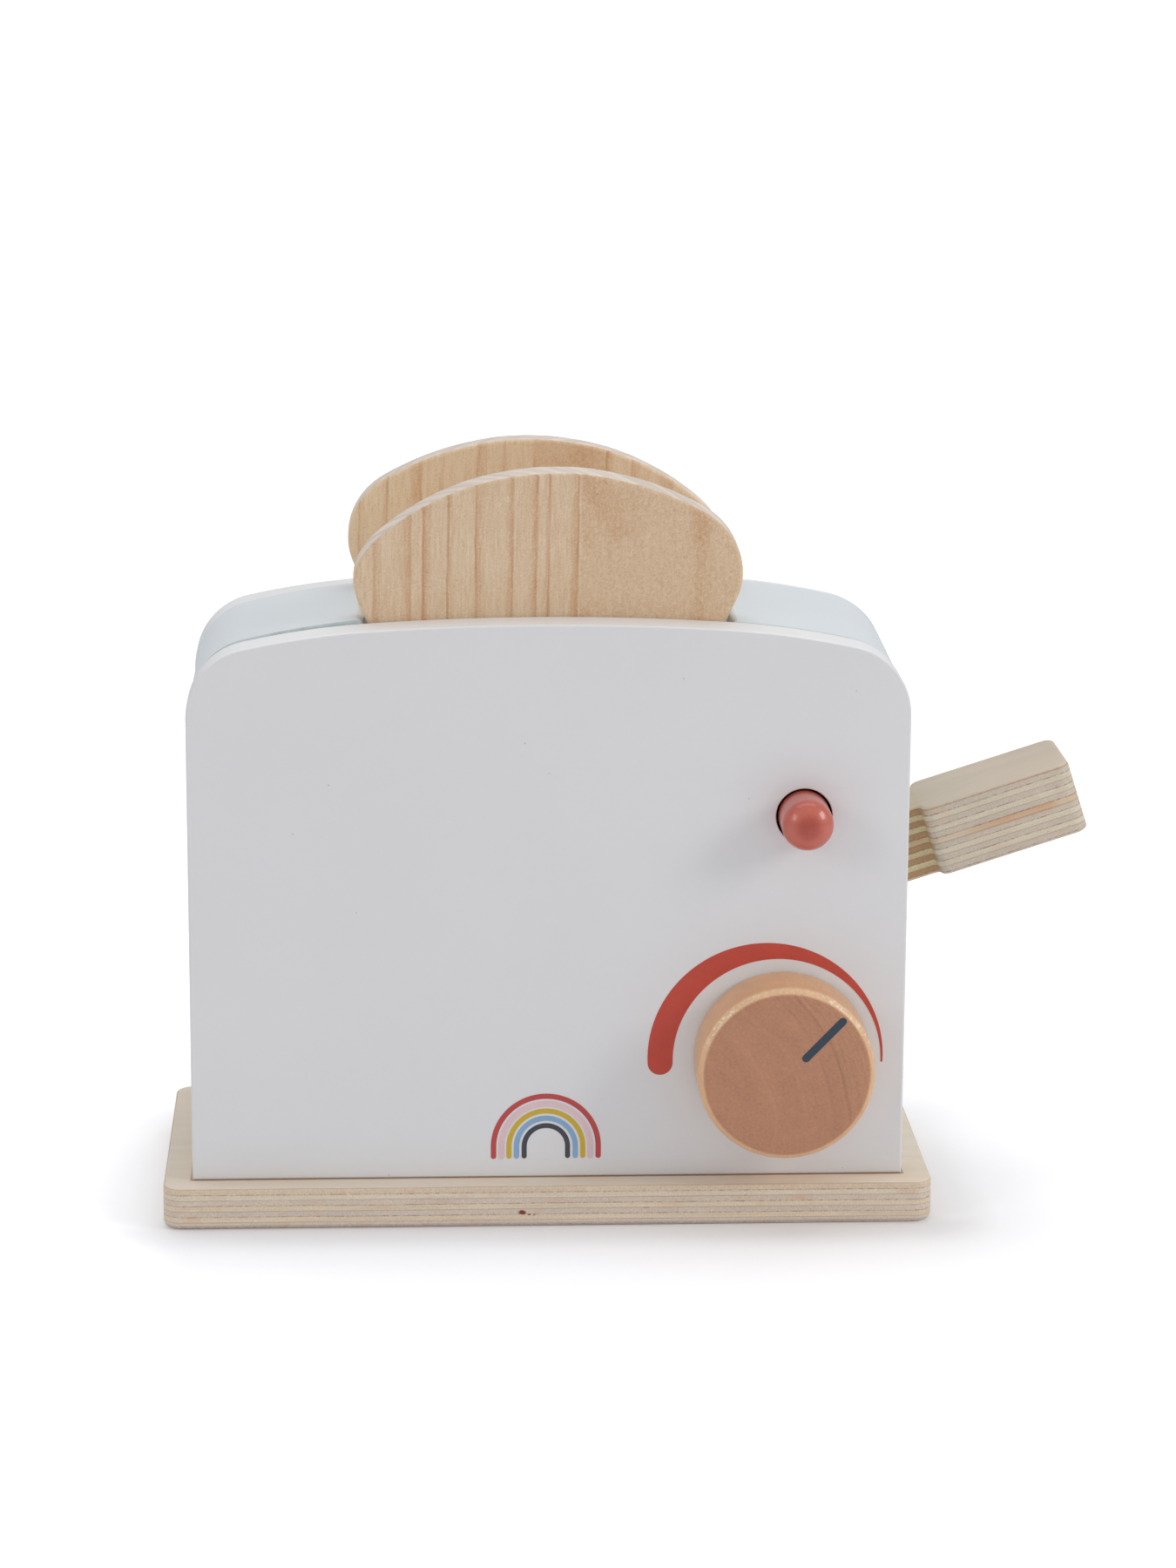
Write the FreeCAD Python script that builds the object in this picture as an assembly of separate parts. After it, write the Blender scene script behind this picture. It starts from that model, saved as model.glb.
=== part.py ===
# Wooden play toaster: a plywood base carries two white arched panels with a pale
# blue body between them, two play toasts standing in two slots, a see-saw lever
# that lifts them, a turning knob and a sprung push peg.
# Millimetres.  X to the right, front faces -Y, Z up from the underside of the base.
import FreeCAD, Part
import math
import os

V = FreeCAD.Vector

# ---------------------------------------------------------------- dimensions
# base plate (birch plywood)
BASE_W, BASE_D, BASE_T = 214.0, 96.0, 12.0
BASE_CORNER, BASE_TOP_EDGE, BASE_LOW_EDGE = 5.2, 0.8, 2.0

# arched panels
PANEL_W = 198.0            # across the upright sides
PANEL_TOP = 169.0          # apex of the arch
PANEL_T = 12.0             # thickness of each white panel
BODY_D = 80.0              # front of front panel to back of rear panel
PANEL_EDGE = 0.6           # eased edge all round
ARCH_R1, ARCH_A1 = 750.0, 0.065     # flat crown
ARCH_R2, ARCH_A2 = 230.0, 0.2188    # haunch
Y_FRONT = -BODY_D / 2
Y_FRONT_IN = Y_FRONT + PANEL_T
Y_REAR_IN = BODY_D / 2 - PANEL_T
Y_REAR = BODY_D / 2

# pale blue body between the panels
BODY_INSET = 0.6           # sits this much inside the panel outline
WALL_T = 12.0
BLOCK_Z = 136.0            # underside of the shoulder blocks and of the divider
SLOT_LEFT, SLOT_RIGHT = 50.6, 51.0   # ends of each toast slot, from the middle
SLOT_W = 16.2
BLOCK_EDGE = 0.7           # eased front and rear edges of the shoulder blocks
BLOCK_RISE = 0.5           # the blocks sit this much higher than the inset outline
LEFT_TILT, RIGHT_TILT = 1.3, 1.8     # degrees the blocks stand proud of the panels

# lever (thick plywood), leaning up to the right at rest
LEVER_T = 20.6
LEVER_SLOPE = 0.325
LEVER_X103_Z = 99.4        # height of the lever's middle line at X = 103
PIVOT_X = 72.0
PIVOT_Z = LEVER_X103_Z - (103.0 - PIVOT_X) * LEVER_SLOPE
LEVER_ANGLE = math.atan(LEVER_SLOPE)
LEVER_TRAVEL = math.radians(16.0)
NECK_HALF, HANDLE_HALF = 11.0, 16.0
HANDLE_START, HANDLE_END = 38.4, 81.8      # measured along the lever from the pivot
INNER_END = -86.0
PIVOT_R, PIVOT_CLEAR = 5.0, 0.08

# lift platform and its guides
NOSE_R = 7.0
PLATE_T = 6.0
PLATE_TOP = 108.7
ROD_R, ROD_CLEAR = 3.5, 0.08
ROD_X, ROD_Y = 58.0, 19.0
CONTACT_GAP = 0.30

# toasts (pine)
TOAST_T = 10.0
TOAST_EDGE = 1.2
FRONT_TOP_Z, FRONT_LEAN = 208.8, math.radians(2.0)
FRONT_FACE_Y_AT_SLOT = -27.6
REAR_TOP_Z, REAR_LEAN = 210.8, math.radians(-2.5)
REAR_FACE_Y_AT_SLOT = 17.0
REAR_SHIFT = -1.6
WAIST = 47.6
TOAST_CORNER = 7.0

# knob
KNOB_X, KNOB_Z = 64.7, 46.7
KNOB_R, KNOB_T, KNOB_GAP, KNOB_EDGE = 24.5, 18.2, 0.4, 2.6
SHAFT_R, SHAFT_CLEAR = 5.0, 0.08

# push peg
PEG_X, PEG_Z = 70.0, 115.2
PEG_R, PEG_HOLE_R = 7.1, 7.75
PEG_OUT = 15.0
PEG_DOME, PEG_BLEND = 8.6, 4.0
TAIL_R, TAIL_CLEAR = 3.0, 0.08
SPRING_R, SPRING_WIRE_R = 4.7, 0.5

# fasteners
DOWEL_R, DOWEL_L = 3.0, 20.0
SCREW_R, SCREW_HEAD_R, SCREW_L = 2.0, 4.0, 34.0


# ---------------------------------------------------------------- helpers
def arch_arcs(half, top, inset):
    """Half outline of the arch from the apex to the upright side, as arcs."""
    r1, r2 = ARCH_R1 - inset, ARCH_R2 - inset
    r3 = (PANEL_W / 2 - ARCH_R1 * math.sin(ARCH_A1)
          - ARCH_R2 * (math.sin(ARCH_A2) - math.sin(ARCH_A1))) / (1 - math.sin(ARCH_A2)) - inset
    zc = top - inset - r1
    cx, cz = 0.0, zc
    out = []
    a_from, radii = 0.0, ((r1, ARCH_A1), (r2, ARCH_A2), (r3, math.pi / 2))
    for r, a_to in radii:
        mid = (a_from + a_to) / 2
        p = [V(cx + r * math.sin(a), 0, cz + r * math.cos(a)) for a in (a_from, mid, a_to)]
        out.append(p)
        nxt = radii[radii.index((r, a_to)) + 1][0] if (r, a_to) != radii[-1] else r
        cx += (r - nxt) * math.sin(a_to)
        cz += (r - nxt) * math.cos(a_to)
        a_from = a_to
    return out


def arch_wire(inset, z_low, y):
    right = arch_arcs(PANEL_W / 2, PANEL_TOP, inset)
    edges = []
    for p in reversed(right):
        a, b, c = [V(-q.x, y, q.z) for q in reversed(p)]
        edges.append(Part.Arc(a, b, c).toShape())
    for p in right:
        a, b, c = [V(q.x, y, q.z) for q in p]
        edges.append(Part.Arc(a, b, c).toShape())
    half = PANEL_W / 2 - inset
    z_side = right[-1][-1].z
    edges.append(Part.makeLine(V(half, y, z_side), V(half, y, z_low)))
    edges.append(Part.makeLine(V(half, y, z_low), V(-half, y, z_low)))
    edges.append(Part.makeLine(V(-half, y, z_low), V(-half, y, z_side)))
    return Part.Wire(Part.__sortEdges__(edges))


def arch_solid(inset, z_low, y0, y1):
    return Part.Face(arch_wire(inset, z_low, y0)).extrude(V(0, y1 - y0, 0))


def box(x0, x1, y0, y1, z0, z1):
    return Part.makeBox(x1 - x0, y1 - y0, z1 - z0, V(x0, y0, z0))


def cyl_y(x, z, r, y0, y1):
    return Part.makeCylinder(r, y1 - y0, V(x, y0, z), V(0, 1, 0))


def cyl_z(x, y, r, z0, z1):
    return Part.makeCylinder(r, z1 - z0, V(x, y, z0), V(0, 0, 1))


def cyl_x(y, z, r, x0, x1):
    return Part.makeCylinder(r, x1 - x0, V(x0, y, z), V(1, 0, 0))


def one(shape):
    """The shape as its single solid."""
    shape = shape.removeSplitter()
    solids = shape.Solids
    if len(solids) != 1:
        raise ValueError("expected one solid, found %d" % len(solids))
    return solids[0]


def edges_where(shape, test):
    return [e for e in shape.Edges if test(e)]


def fillet_ok(shape, radius, edges):
    done = shape.makeFillet(radius, edges)
    if not done.isValid() or done.Volume <= 0:
        raise ValueError("fillet failed")
    return done


PARTS = {}


def keep(name, solids):
    solids = solids if isinstance(solids, list) else [solids]
    for s in solids:
        if not s.isValid():
            raise ValueError("%s is not valid" % name)
    PARTS[name] = solids[0] if len(solids) == 1 else Part.makeCompound(solids)


# ---------------------------------------------------------------- fastener places
WALL_MID_X = PANEL_W / 2 - BODY_INSET - WALL_T / 2
SCREW_SPOTS = [(sx * WALL_MID_X, sy * 17.0) for sx in (-1, 1) for sy in (-1, 1)]
DOWEL_SPOTS = [(sx * WALL_MID_X, z) for sx in (-1, 1) for z in (48.0, 122.0)]
DOWEL_SPOTS += [(sx * 72.0, 150.0) for sx in (-1, 1)]
DOWEL_FRONT = (Y_FRONT_IN - 8.0, Y_FRONT_IN + 12.0)
DOWEL_REAR = (Y_REAR_IN - 12.0, Y_REAR_IN + 8.0)
DIV_DOWEL_Z = 151.0
HOLE_EXTRA = 0.06


def cut_dowel_holes(shape, which):
    for x, z in DOWEL_SPOTS:
        for side, (y0, y1) in (("front", DOWEL_FRONT), ("rear", DOWEL_REAR)):
            if side in which:
                shape = shape.cut(cyl_y(x, z, DOWEL_R + HOLE_EXTRA, y0 - 0.2, y1 + 0.2))
    return shape


# ---------------------------------------------------------------- base plate
base = box(-BASE_W / 2, BASE_W / 2, -BASE_D / 2, BASE_D / 2, 0, BASE_T)
base = fillet_ok(base, BASE_CORNER, edges_where(
    base, lambda e: abs(e.Vertexes[0].X - e.Vertexes[1].X) < 1e-6 and abs(e.Vertexes[0].Y - e.Vertexes[1].Y) < 1e-6))
base = fillet_ok(base, BASE_LOW_EDGE, edges_where(base, lambda e: e.BoundBox.ZMax < 1e-6))
base = fillet_ok(base, BASE_TOP_EDGE, edges_where(base, lambda e: e.BoundBox.ZMin > BASE_T - 1e-6))
for x, y in SCREW_SPOTS:
    base = base.cut(cyl_z(x, y, SCREW_R + 0.15, -1, BASE_T + 1))
    base = base.cut(Part.makeCone(SCREW_HEAD_R + 0.6, SCREW_R + 0.15, 2.9, V(x, y, 0), V(0, 0, 1)))
for sx, sy in ((1, 1), (-1, -1)):
    base = base.cut(cyl_z(sx * ROD_X, sy * ROD_Y, ROD_R + 0.03, BASE_T - 6.0, BASE_T + 1))
keep("base_plate", one(base))

# ---------------------------------------------------------------- white panels
def panel(y0, y1):
    s = arch_solid(0.0, BASE_T, y0, y1)
    rim = edges_where(s, lambda e: abs(e.BoundBox.YMax - e.BoundBox.YMin) < 1e-6)
    return fillet_ok(s, PANEL_EDGE, rim)


front = panel(Y_FRONT, Y_FRONT_IN)
front = front.cut(cyl_y(PEG_X, PEG_Z, PEG_HOLE_R, Y_FRONT - 1, Y_FRONT_IN + 1))
front = front.cut(cyl_y(KNOB_X, KNOB_Z, SHAFT_R + SHAFT_CLEAR, Y_FRONT - 1, Y_FRONT_IN + 1))
front = front.cut(cyl_y(PIVOT_X, PIVOT_Z, PIVOT_R + 0.03, Y_FRONT_IN - 6.2, Y_FRONT_IN + 1))
front = cut_dowel_holes(front, ("front",))
front = one(front)
lip = edges_where(front, lambda e: e.Curve.TypeId == "Part::GeomCircle" and abs(e.Curve.Radius - PEG_HOLE_R) < 1e-6
                  and e.BoundBox.YMax < Y_FRONT + 1e-6)
front = fillet_ok(front, 0.3, lip)
keep("front_panel", one(front))

rear = panel(Y_REAR_IN, Y_REAR)
rear = rear.cut(cyl_y(PIVOT_X, PIVOT_Z, PIVOT_R + 0.03, Y_REAR_IN - 1, Y_REAR_IN + 6.2))
rear = cut_dowel_holes(rear, ("rear",))
keep("rear_panel", one(rear))

# ---------------------------------------------------------------- pale blue body
body = arch_solid(BODY_INSET, BASE_T, Y_FRONT_IN, Y_REAR_IN)
x_out = PANEL_W / 2 - BODY_INSET
x_in = x_out - WALL_T


def shoulder(sx):
    # the left block rises towards the slots, the right one towards the rear
    raw = arch_solid(BODY_INSET, BASE_T, Y_FRONT_IN - 8, Y_REAR_IN + 8)
    raw.translate(V(0, 0, BLOCK_RISE))
    if sx < 0:
        raw.rotate(V(-x_out + 1.5, 0, 150), V(0, 1, 0), -LEFT_TILT)
        lo, hi, end, r_end = -x_out, -SLOT_LEFT, -SLOT_LEFT, 2.0
    else:
        raw.rotate(V(0, Y_FRONT_IN, 158), V(1, 0, 0), RIGHT_TILT)
        lo, hi, end, r_end = SLOT_RIGHT, x_out, SLOT_RIGHT, 1.2
    s = one(raw.common(box(lo, hi, Y_FRONT_IN, Y_REAR_IN, BLOCK_Z, PANEL_TOP + 6)))
    s = fillet_ok(s, r_end, edges_where(s, lambda e: e.BoundBox.XMax < end + 1e-4 and e.BoundBox.XMin > end - 1e-4
                                        and e.BoundBox.ZMin > 155))
    for y in (Y_FRONT_IN, Y_REAR_IN):
        s = fillet_ok(s, BLOCK_EDGE, edges_where(
            s, lambda e: e.BoundBox.YMax < y + 1e-4 and e.BoundBox.YMin > y - 1e-4
            and e.BoundBox.ZMin > 141 and e.BoundBox.XLength > 4))
    s = cut_dowel_holes(s, ("front", "rear"))
    s = s.cut(cyl_x(0, DIV_DOWEL_Z, DOWEL_R + HOLE_EXTRA, -SLOT_LEFT - DOWEL_L / 2 - 0.2, SLOT_RIGHT + DOWEL_L / 2 + 0.2))
    s = s.cut(cyl_z(sx * ROD_X, sx * ROD_Y, ROD_R + 0.03, BLOCK_Z - 1, BLOCK_Z + 8.2))
    return one(s)


keep("right_shoulder_block", shoulder(1))
keep("left_shoulder_block", shoulder(-1))


def wall(sx):
    lo, hi = (x_in, x_out) if sx > 0 else (-x_out, -x_in)
    s = box(lo, hi, Y_FRONT_IN, Y_REAR_IN, BASE_T, BLOCK_Z)
    s = cut_dowel_holes(s, ("front", "rear"))
    for x, y in SCREW_SPOTS:
        s = s.cut(cyl_z(x, y, SCREW_R + 0.05, BASE_T - 1, SCREW_L + 1.0))
    return one(s)


# the lever's slot through the right wall ends where the lever stops, both ways
def lever_mid_z(x, angle):
    return PIVOT_Z + (x - PIVOT_X) * math.tan(angle)


half_up = LEVER_T / 2 / math.cos(LEVER_ANGLE)
low_angle = LEVER_ANGLE - LEVER_TRAVEL
half_down = LEVER_T / 2 / math.cos(low_angle)
SLOT_TOP = lever_mid_z(x_out, LEVER_ANGLE) + half_up + 0.45
SLOT_LOW = lever_mid_z(x_in, low_angle) - half_down - 0.45
right_wall = wall(1).cut(box(x_in - 1, x_out + 1, -NECK_HALF - 1.6, NECK_HALF + 1.6, SLOT_LOW, SLOT_TOP))
right_wall = one(right_wall)
mouth = edges_where(right_wall, lambda e: e.BoundBox.XMin > x_out - 1e-6 and e.BoundBox.ZMin > SLOT_LOW - 1e-6
                    and e.BoundBox.ZMax < SLOT_TOP + 1e-6 and abs(e.CenterOfMass.y) < NECK_HALF + 2)
right_wall = fillet_ok(right_wall, 0.8, mouth)
keep("right_side_wall", one(right_wall))
keep("left_side_wall", wall(-1))

divider = one(body.common(box(-SLOT_LEFT, SLOT_RIGHT, Y_FRONT_IN + SLOT_W, Y_REAR_IN - SLOT_W, BLOCK_Z, PANEL_TOP + 1)))
divider = divider.makeChamfer(0.8, edges_where(divider, lambda e: e.Curve.TypeId == "Part::GeomCircle"))
for x0, x1 in ((SLOT_RIGHT - DOWEL_L / 2 - 0.2, SLOT_RIGHT + 1), (-SLOT_LEFT - 1, -SLOT_LEFT + DOWEL_L / 2 + 0.2)):
    divider = divider.cut(cyl_x(0, DIV_DOWEL_Z, DOWEL_R + HOLE_EXTRA, x0, x1))
keep("slot_divider", one(divider))

# ---------------------------------------------------------------- fasteners and fixed inner pieces
dowels = []


def dowel(s):
    rims = edges_where(s, lambda e: e.Curve.TypeId == "Part::GeomCircle")
    return s.makeChamfer(0.6, rims)


for x, z in DOWEL_SPOTS:
    dowels.append(dowel(cyl_y(x, z, DOWEL_R, *DOWEL_FRONT)))
    dowels.append(dowel(cyl_y(x, z, DOWEL_R, *DOWEL_REAR)))
for mid in (-SLOT_LEFT, SLOT_RIGHT):
    dowels.append(dowel(cyl_x(0, DIV_DOWEL_Z, DOWEL_R, mid - DOWEL_L / 2, mid + DOWEL_L / 2)))
keep("assembly_dowels", dowels)

screws = []
for x, y in SCREW_SPOTS:
    head = Part.makeCone(SCREW_HEAD_R, SCREW_R, 2.2, V(x, y, 0.3), V(0, 0, 1))
    shank = cyl_z(x, y, SCREW_R, 1.0, SCREW_L - 3.0)
    tip = Part.makeCone(SCREW_R, 0.4, 3.0, V(x, y, SCREW_L - 3.0), V(0, 0, 1))
    s = one(head.fuse([shank, tip]))
    cross = box(x - 2.2, x + 2.2, y - 0.45, y + 0.45, 0, 1.5).fuse(box(x - 0.45, x + 0.45, y - 2.2, y + 2.2, 0, 1.5))
    screws.append(one(s.cut(cross)))
keep("base_screws", screws)

rods = [cyl_z(s * ROD_X, s * ROD_Y, ROD_R, BASE_T - 6.0, BLOCK_Z + 8.0) for s in (1, -1)]
keep("lift_guide_rods", rods)

keep("pivot_dowel", cyl_y(PIVOT_X, PIVOT_Z, PIVOT_R, Y_FRONT_IN - 6.0, Y_REAR_IN + 6.0))
spacers = []
for y0, y1 in ((Y_FRONT_IN, -NECK_HALF - 0.4), (NECK_HALF + 0.4, Y_REAR_IN)):
    ring = cyl_y(PIVOT_X, PIVOT_Z, 8.0, y0, y1).cut(cyl_y(PIVOT_X, PIVOT_Z, PIVOT_R + 0.05, y0 - 1, y1 + 1))
    spacers.append(one(ring))
keep("pivot_spacers", spacers)

# ---------------------------------------------------------------- lever
def lever_solid():
    # plan outline in lever coordinates: u along the lever from the pivot, y across
    pts = [(INNER_END, -NECK_HALF), (HANDLE_START, -NECK_HALF), (HANDLE_START, -HANDLE_HALF),
           (HANDLE_END, -HANDLE_HALF), (HANDLE_END, HANDLE_HALF), (HANDLE_START, HANDLE_HALF),
           (HANDLE_START, NECK_HALF), (INNER_END, NECK_HALF)]
    poly = Part.makePolygon([V(u, y, -LEVER_T / 2) for u, y in pts + pts[:1]])
    s = Part.Face(poly).extrude(V(0, 0, LEVER_T))

    def upright(e, u, y):
        b = e.BoundBox
        return b.ZLength > LEVER_T - 1e-3 and abs(b.XMin - u) < 1e-3 and abs(abs(b.YMin) - y) < 1e-3
    s = fillet_ok(s, 3.6, edges_where(s, lambda e: upright(e, HANDLE_END, HANDLE_HALF)))
    s = fillet_ok(s, 3.0, edges_where(s, lambda e: upright(e, HANDLE_START, HANDLE_HALF)))
    s = fillet_ok(s, 1.8, edges_where(s, lambda e: upright(e, HANDLE_START, NECK_HALF)))
    s = fillet_ok(s, 3.0, edges_where(s, lambda e: upright(e, INNER_END, NECK_HALF)))
    rim = edges_where(s, lambda e: e.BoundBox.ZLength < 1e-6)
    s = fillet_ok(s, 1.3, rim)
    s = s.cut(cyl_y(0, 0, PIVOT_R + PIVOT_CLEAR, -20, 20))
    s.rotate(V(0, 0, 0), V(0, 1, 0), -math.degrees(LEVER_ANGLE))
    s.translate(V(PIVOT_X, 0, PIVOT_Z))
    return one(s)


keep("lever", lever_solid())

# ---------------------------------------------------------------- lift platform and its post
nose_z = PIVOT_Z + (LEVER_T / 2 + NOSE_R) / math.cos(LEVER_ANGLE) - PIVOT_X * math.tan(LEVER_ANGLE) + CONTACT_GAP
plate_low = PLATE_TOP - PLATE_T
post = cyl_z(0, 0, NOSE_R, nose_z, plate_low + 4.0).fuse(Part.makeSphere(NOSE_R, V(0, 0, nose_z)))
keep("lift_post", one(post))

plate = box(-49.0, 49.0, -26.8, 26.8, plate_low, PLATE_TOP)
for s in (1, -1):
    x0, x1 = sorted((s * 40.0, s * (ROD_X + 7.5)))
    y0, y1 = sorted((s * (ROD_Y - 7.8), s * (ROD_Y + 7.8)))
    plate = plate.fuse(box(x0, x1, y0, y1, plate_low, PLATE_TOP))
plate = one(plate)
plate = fillet_ok(plate, 2.0, edges_where(plate, lambda e: e.BoundBox.ZLength > PLATE_T - 1e-6))
for s in (1, -1):
    plate = plate.cut(cyl_z(s * ROD_X, s * ROD_Y, ROD_R + ROD_CLEAR, plate_low - 1, PLATE_TOP + 1))
plate = plate.cut(cyl_z(0, 0, NOSE_R + 0.03, plate_low - 1, plate_low + 4.0))
keep("lift_platform", one(plate))

# ---------------------------------------------------------------- toasts
TOP_LEFT = [(-5, -0.3), (-11.5, -1.2), (-20.2, -3.2), (-28, -6.1), (-34.5, -9.3), (-40.6, -13.1), (-46.1, -17.3),
            (-50.1, -21.5), (-52.4, -25.6), (-53.3, -29.2), (-52.8, -33.4), (-51.4, -37.6), (-49.5, -41.8), (-48.1, -46.4)]
TOP_RIGHT = [(4, 0), (10.3, -0.35), (17.8, -1.6), (25.4, -3.5), (33, -6.2), (40.5, -9.7), (46.1, -13.2), (49.9, -17.3),
             (52.3, -22.0), (53.3, -27.0), (53.1, -31.2), (51.7, -35.6), (49.6, -39.9), (48.1, -45.0)]


def toast(height, top_z, lean, face_y_at_slot, shift, mirror):
    m = -1 if mirror else 1
    shoulder_z = -51.5
    path = [(-WAIST, shoulder_z)] + TOP_LEFT[::-1] + TOP_RIGHT + [(WAIST, shoulder_z)]
    if mirror:
        path = [(-u, z) for u, z in path][::-1]
    spline = Part.BSplineCurve()
    spline.interpolate(Points=[V(u, 0, z) for u, z in path])
    low, c = -height, TOAST_CORNER
    k = c * (1 - math.sqrt(0.5))
    edges = [spline.toShape(),
             Part.makeLine(V(WAIST, 0, shoulder_z), V(WAIST, 0, low + c)),
             Part.Arc(V(WAIST, 0, low + c), V(WAIST - k, 0, low + k), V(WAIST - c, 0, low)).toShape(),
             Part.makeLine(V(WAIST - c, 0, low), V(-WAIST + c, 0, low)),
             Part.Arc(V(-WAIST + c, 0, low), V(-WAIST + k, 0, low + k), V(-WAIST, 0, low + c)).toShape(),
             Part.makeLine(V(-WAIST, 0, low + c), V(-WAIST, 0, shoulder_z))]
    s = Part.Face(Part.Wire(Part.__sortEdges__(edges))).extrude(V(0, TOAST_T, 0))
    rim = edges_where(s, lambda e: e.BoundBox.YLength < 1e-4)
    s = fillet_ok(s, TOAST_EDGE, rim)
    # the slice leans about X: its top comes forward for a positive lean
    s.rotate(V(0, 0, 0), V(1, 0, 0), math.degrees(lean))
    at_slot = PANEL_TOP
    y_top = face_y_at_slot - (top_z - at_slot) * math.tan(lean)
    s.translate(V(shift, y_top, top_z))
    return one(s)


front_height = (FRONT_TOP_Z - PLATE_TOP - 0.1) / math.cos(FRONT_LEAN)
keep("toast_front", toast(front_height, FRONT_TOP_Z, FRONT_LEAN, FRONT_FACE_Y_AT_SLOT, 0.0, False))
rear_height = (REAR_TOP_Z - PLATE_TOP - 0.1 - TOAST_T * math.sin(-REAR_LEAN)) / math.cos(REAR_LEAN)
keep("toast_rear", toast(rear_height, REAR_TOP_Z, REAR_LEAN, REAR_FACE_Y_AT_SLOT, REAR_SHIFT, True))

# ---------------------------------------------------------------- knob
knob_back = Y_FRONT - KNOB_GAP
knob_face = knob_back - KNOB_T
knob = cyl_y(KNOB_X, KNOB_Z, KNOB_R, knob_face, knob_back)
knob = fillet_ok(knob, KNOB_EDGE, edges_where(knob, lambda e: e.Curve.TypeId == "Part::GeomCircle" and e.BoundBox.YMax < knob_face + 1e-6))
knob = fillet_ok(knob, 0.8, edges_where(knob, lambda e: e.Curve.TypeId == "Part::GeomCircle" and e.BoundBox.YMin > knob_back - 1e-6))
knob = knob.cut(cyl_y(KNOB_X, KNOB_Z, SHAFT_R + 0.03, knob_back - 12.0, knob_back + 1))
keep("knob", one(knob))
keep("knob_shaft", dowel(cyl_y(KNOB_X, KNOB_Z, SHAFT_R, knob_back - 11.8, Y_FRONT_IN + 5.4)))
retainer = cyl_y(KNOB_X, KNOB_Z, 11.0, Y_FRONT_IN + 0.4, Y_FRONT_IN + 5.4)
retainer = retainer.makeChamfer(0.6, edges_where(retainer, lambda e: e.Curve.TypeId == "Part::GeomCircle"))
retainer = retainer.cut(cyl_y(KNOB_X, KNOB_Z, SHAFT_R + 0.03, Y_FRONT_IN - 1, Y_FRONT_IN + 7))
keep("knob_retainer", one(retainer))

# ---------------------------------------------------------------- push peg
peg_tip = Y_FRONT - PEG_OUT
collar_y0, collar_y1 = Y_FRONT_IN + 0.05, Y_FRONT_IN + 3.05
guide_y0, guide_y1 = -12.0, -2.0
tail_end = -5.0
# main dowel with a domed outer end, stepped down to the tail
def dome_point(r, a, cr, cy):
    return V(PEG_X + cr + r * math.sin(a), cy - r * math.cos(a), PEG_Z)


dome_y = peg_tip + PEG_DOME
blend_r = PEG_R - PEG_BLEND
blend_a = math.asin(blend_r / (PEG_DOME - PEG_BLEND))
blend_y = dome_y - (PEG_DOME - PEG_BLEND) * math.cos(blend_a)
p_axis = V(PEG_X, peg_tip, PEG_Z)
p_mid = dome_point(PEG_DOME, blend_a / 2, 0, dome_y)
p_face_edge = dome_point(PEG_DOME, blend_a, 0, dome_y)
p_bend = dome_point(PEG_BLEND, (blend_a + math.pi / 2) / 2, blend_r, blend_y)
p_side = V(PEG_X + PEG_R, blend_y, PEG_Z)
p_shoulder = V(PEG_X + PEG_R, collar_y1, PEG_Z)
p_step = V(PEG_X + TAIL_R, collar_y1, PEG_Z)
p_tail = V(PEG_X + TAIL_R, tail_end - 0.6, PEG_Z)
p_tail_in = V(PEG_X + TAIL_R - 0.6, tail_end, PEG_Z)
p_tail_axis = V(PEG_X, tail_end, PEG_Z)
edges = [Part.Arc(p_axis, p_mid, p_face_edge).toShape(),
         Part.Arc(p_face_edge, p_bend, p_side).toShape(),
         Part.makeLine(p_side, p_shoulder), Part.makeLine(p_shoulder, p_step), Part.makeLine(p_step, p_tail),
         Part.makeLine(p_tail, p_tail_in), Part.makeLine(p_tail_in, p_tail_axis), Part.makeLine(p_tail_axis, p_axis)]
peg = Part.Face(Part.Wire(edges)).revolve(V(PEG_X, 0, PEG_Z), V(0, 1, 0), 360)
keep("push_peg", one(peg))
collar = cyl_y(PEG_X, PEG_Z, 11.0, collar_y0, collar_y1).cut(cyl_y(PEG_X, PEG_Z, PEG_R + 0.03, collar_y0 - 1, collar_y1 + 1))
keep("peg_collar", one(collar))

guide = box(57.0, x_in, guide_y0, guide_y1, PEG_Z - 7.4, PEG_Z + 10.2)
guide = guide.cut(cyl_y(PEG_X, PEG_Z, TAIL_R + TAIL_CLEAR, guide_y0 - 1, guide_y1 + 1))
keep("peg_guide_block", one(guide))

spring_len = guide_y0 - collar_y1 - 0.3 - 2 * SPRING_WIRE_R
pitch = spring_len / 4.5
helix = Part.makeHelix(pitch, spring_len, SPRING_R)
start = V(SPRING_R, 0, 0)
ring = Part.Wire(Part.makeCircle(SPRING_WIRE_R, start, V(0, 2 * math.pi * SPRING_R, pitch)))
coil = Part.Wire(helix.Edges).makePipeShell([ring], True, True)
coil = Part.Solid(coil) if coil.ShapeType == "Shell" else coil
if coil.Volume < 0:
    coil.reverse()
coil.rotate(V(0, 0, 0), V(1, 0, 0), -90)
coil.translate(V(PEG_X, collar_y1 + 0.15 + SPRING_WIRE_R, PEG_Z))
wire_length = math.hypot(2 * math.pi * SPRING_R * 4.5, spring_len)
print("spring volume %.2f, section times length %.2f" % (coil.Volume, wire_length * math.pi * SPRING_WIRE_R ** 2))
keep("peg_spring", coil.Solids[0] if coil.Solids else coil)

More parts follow.
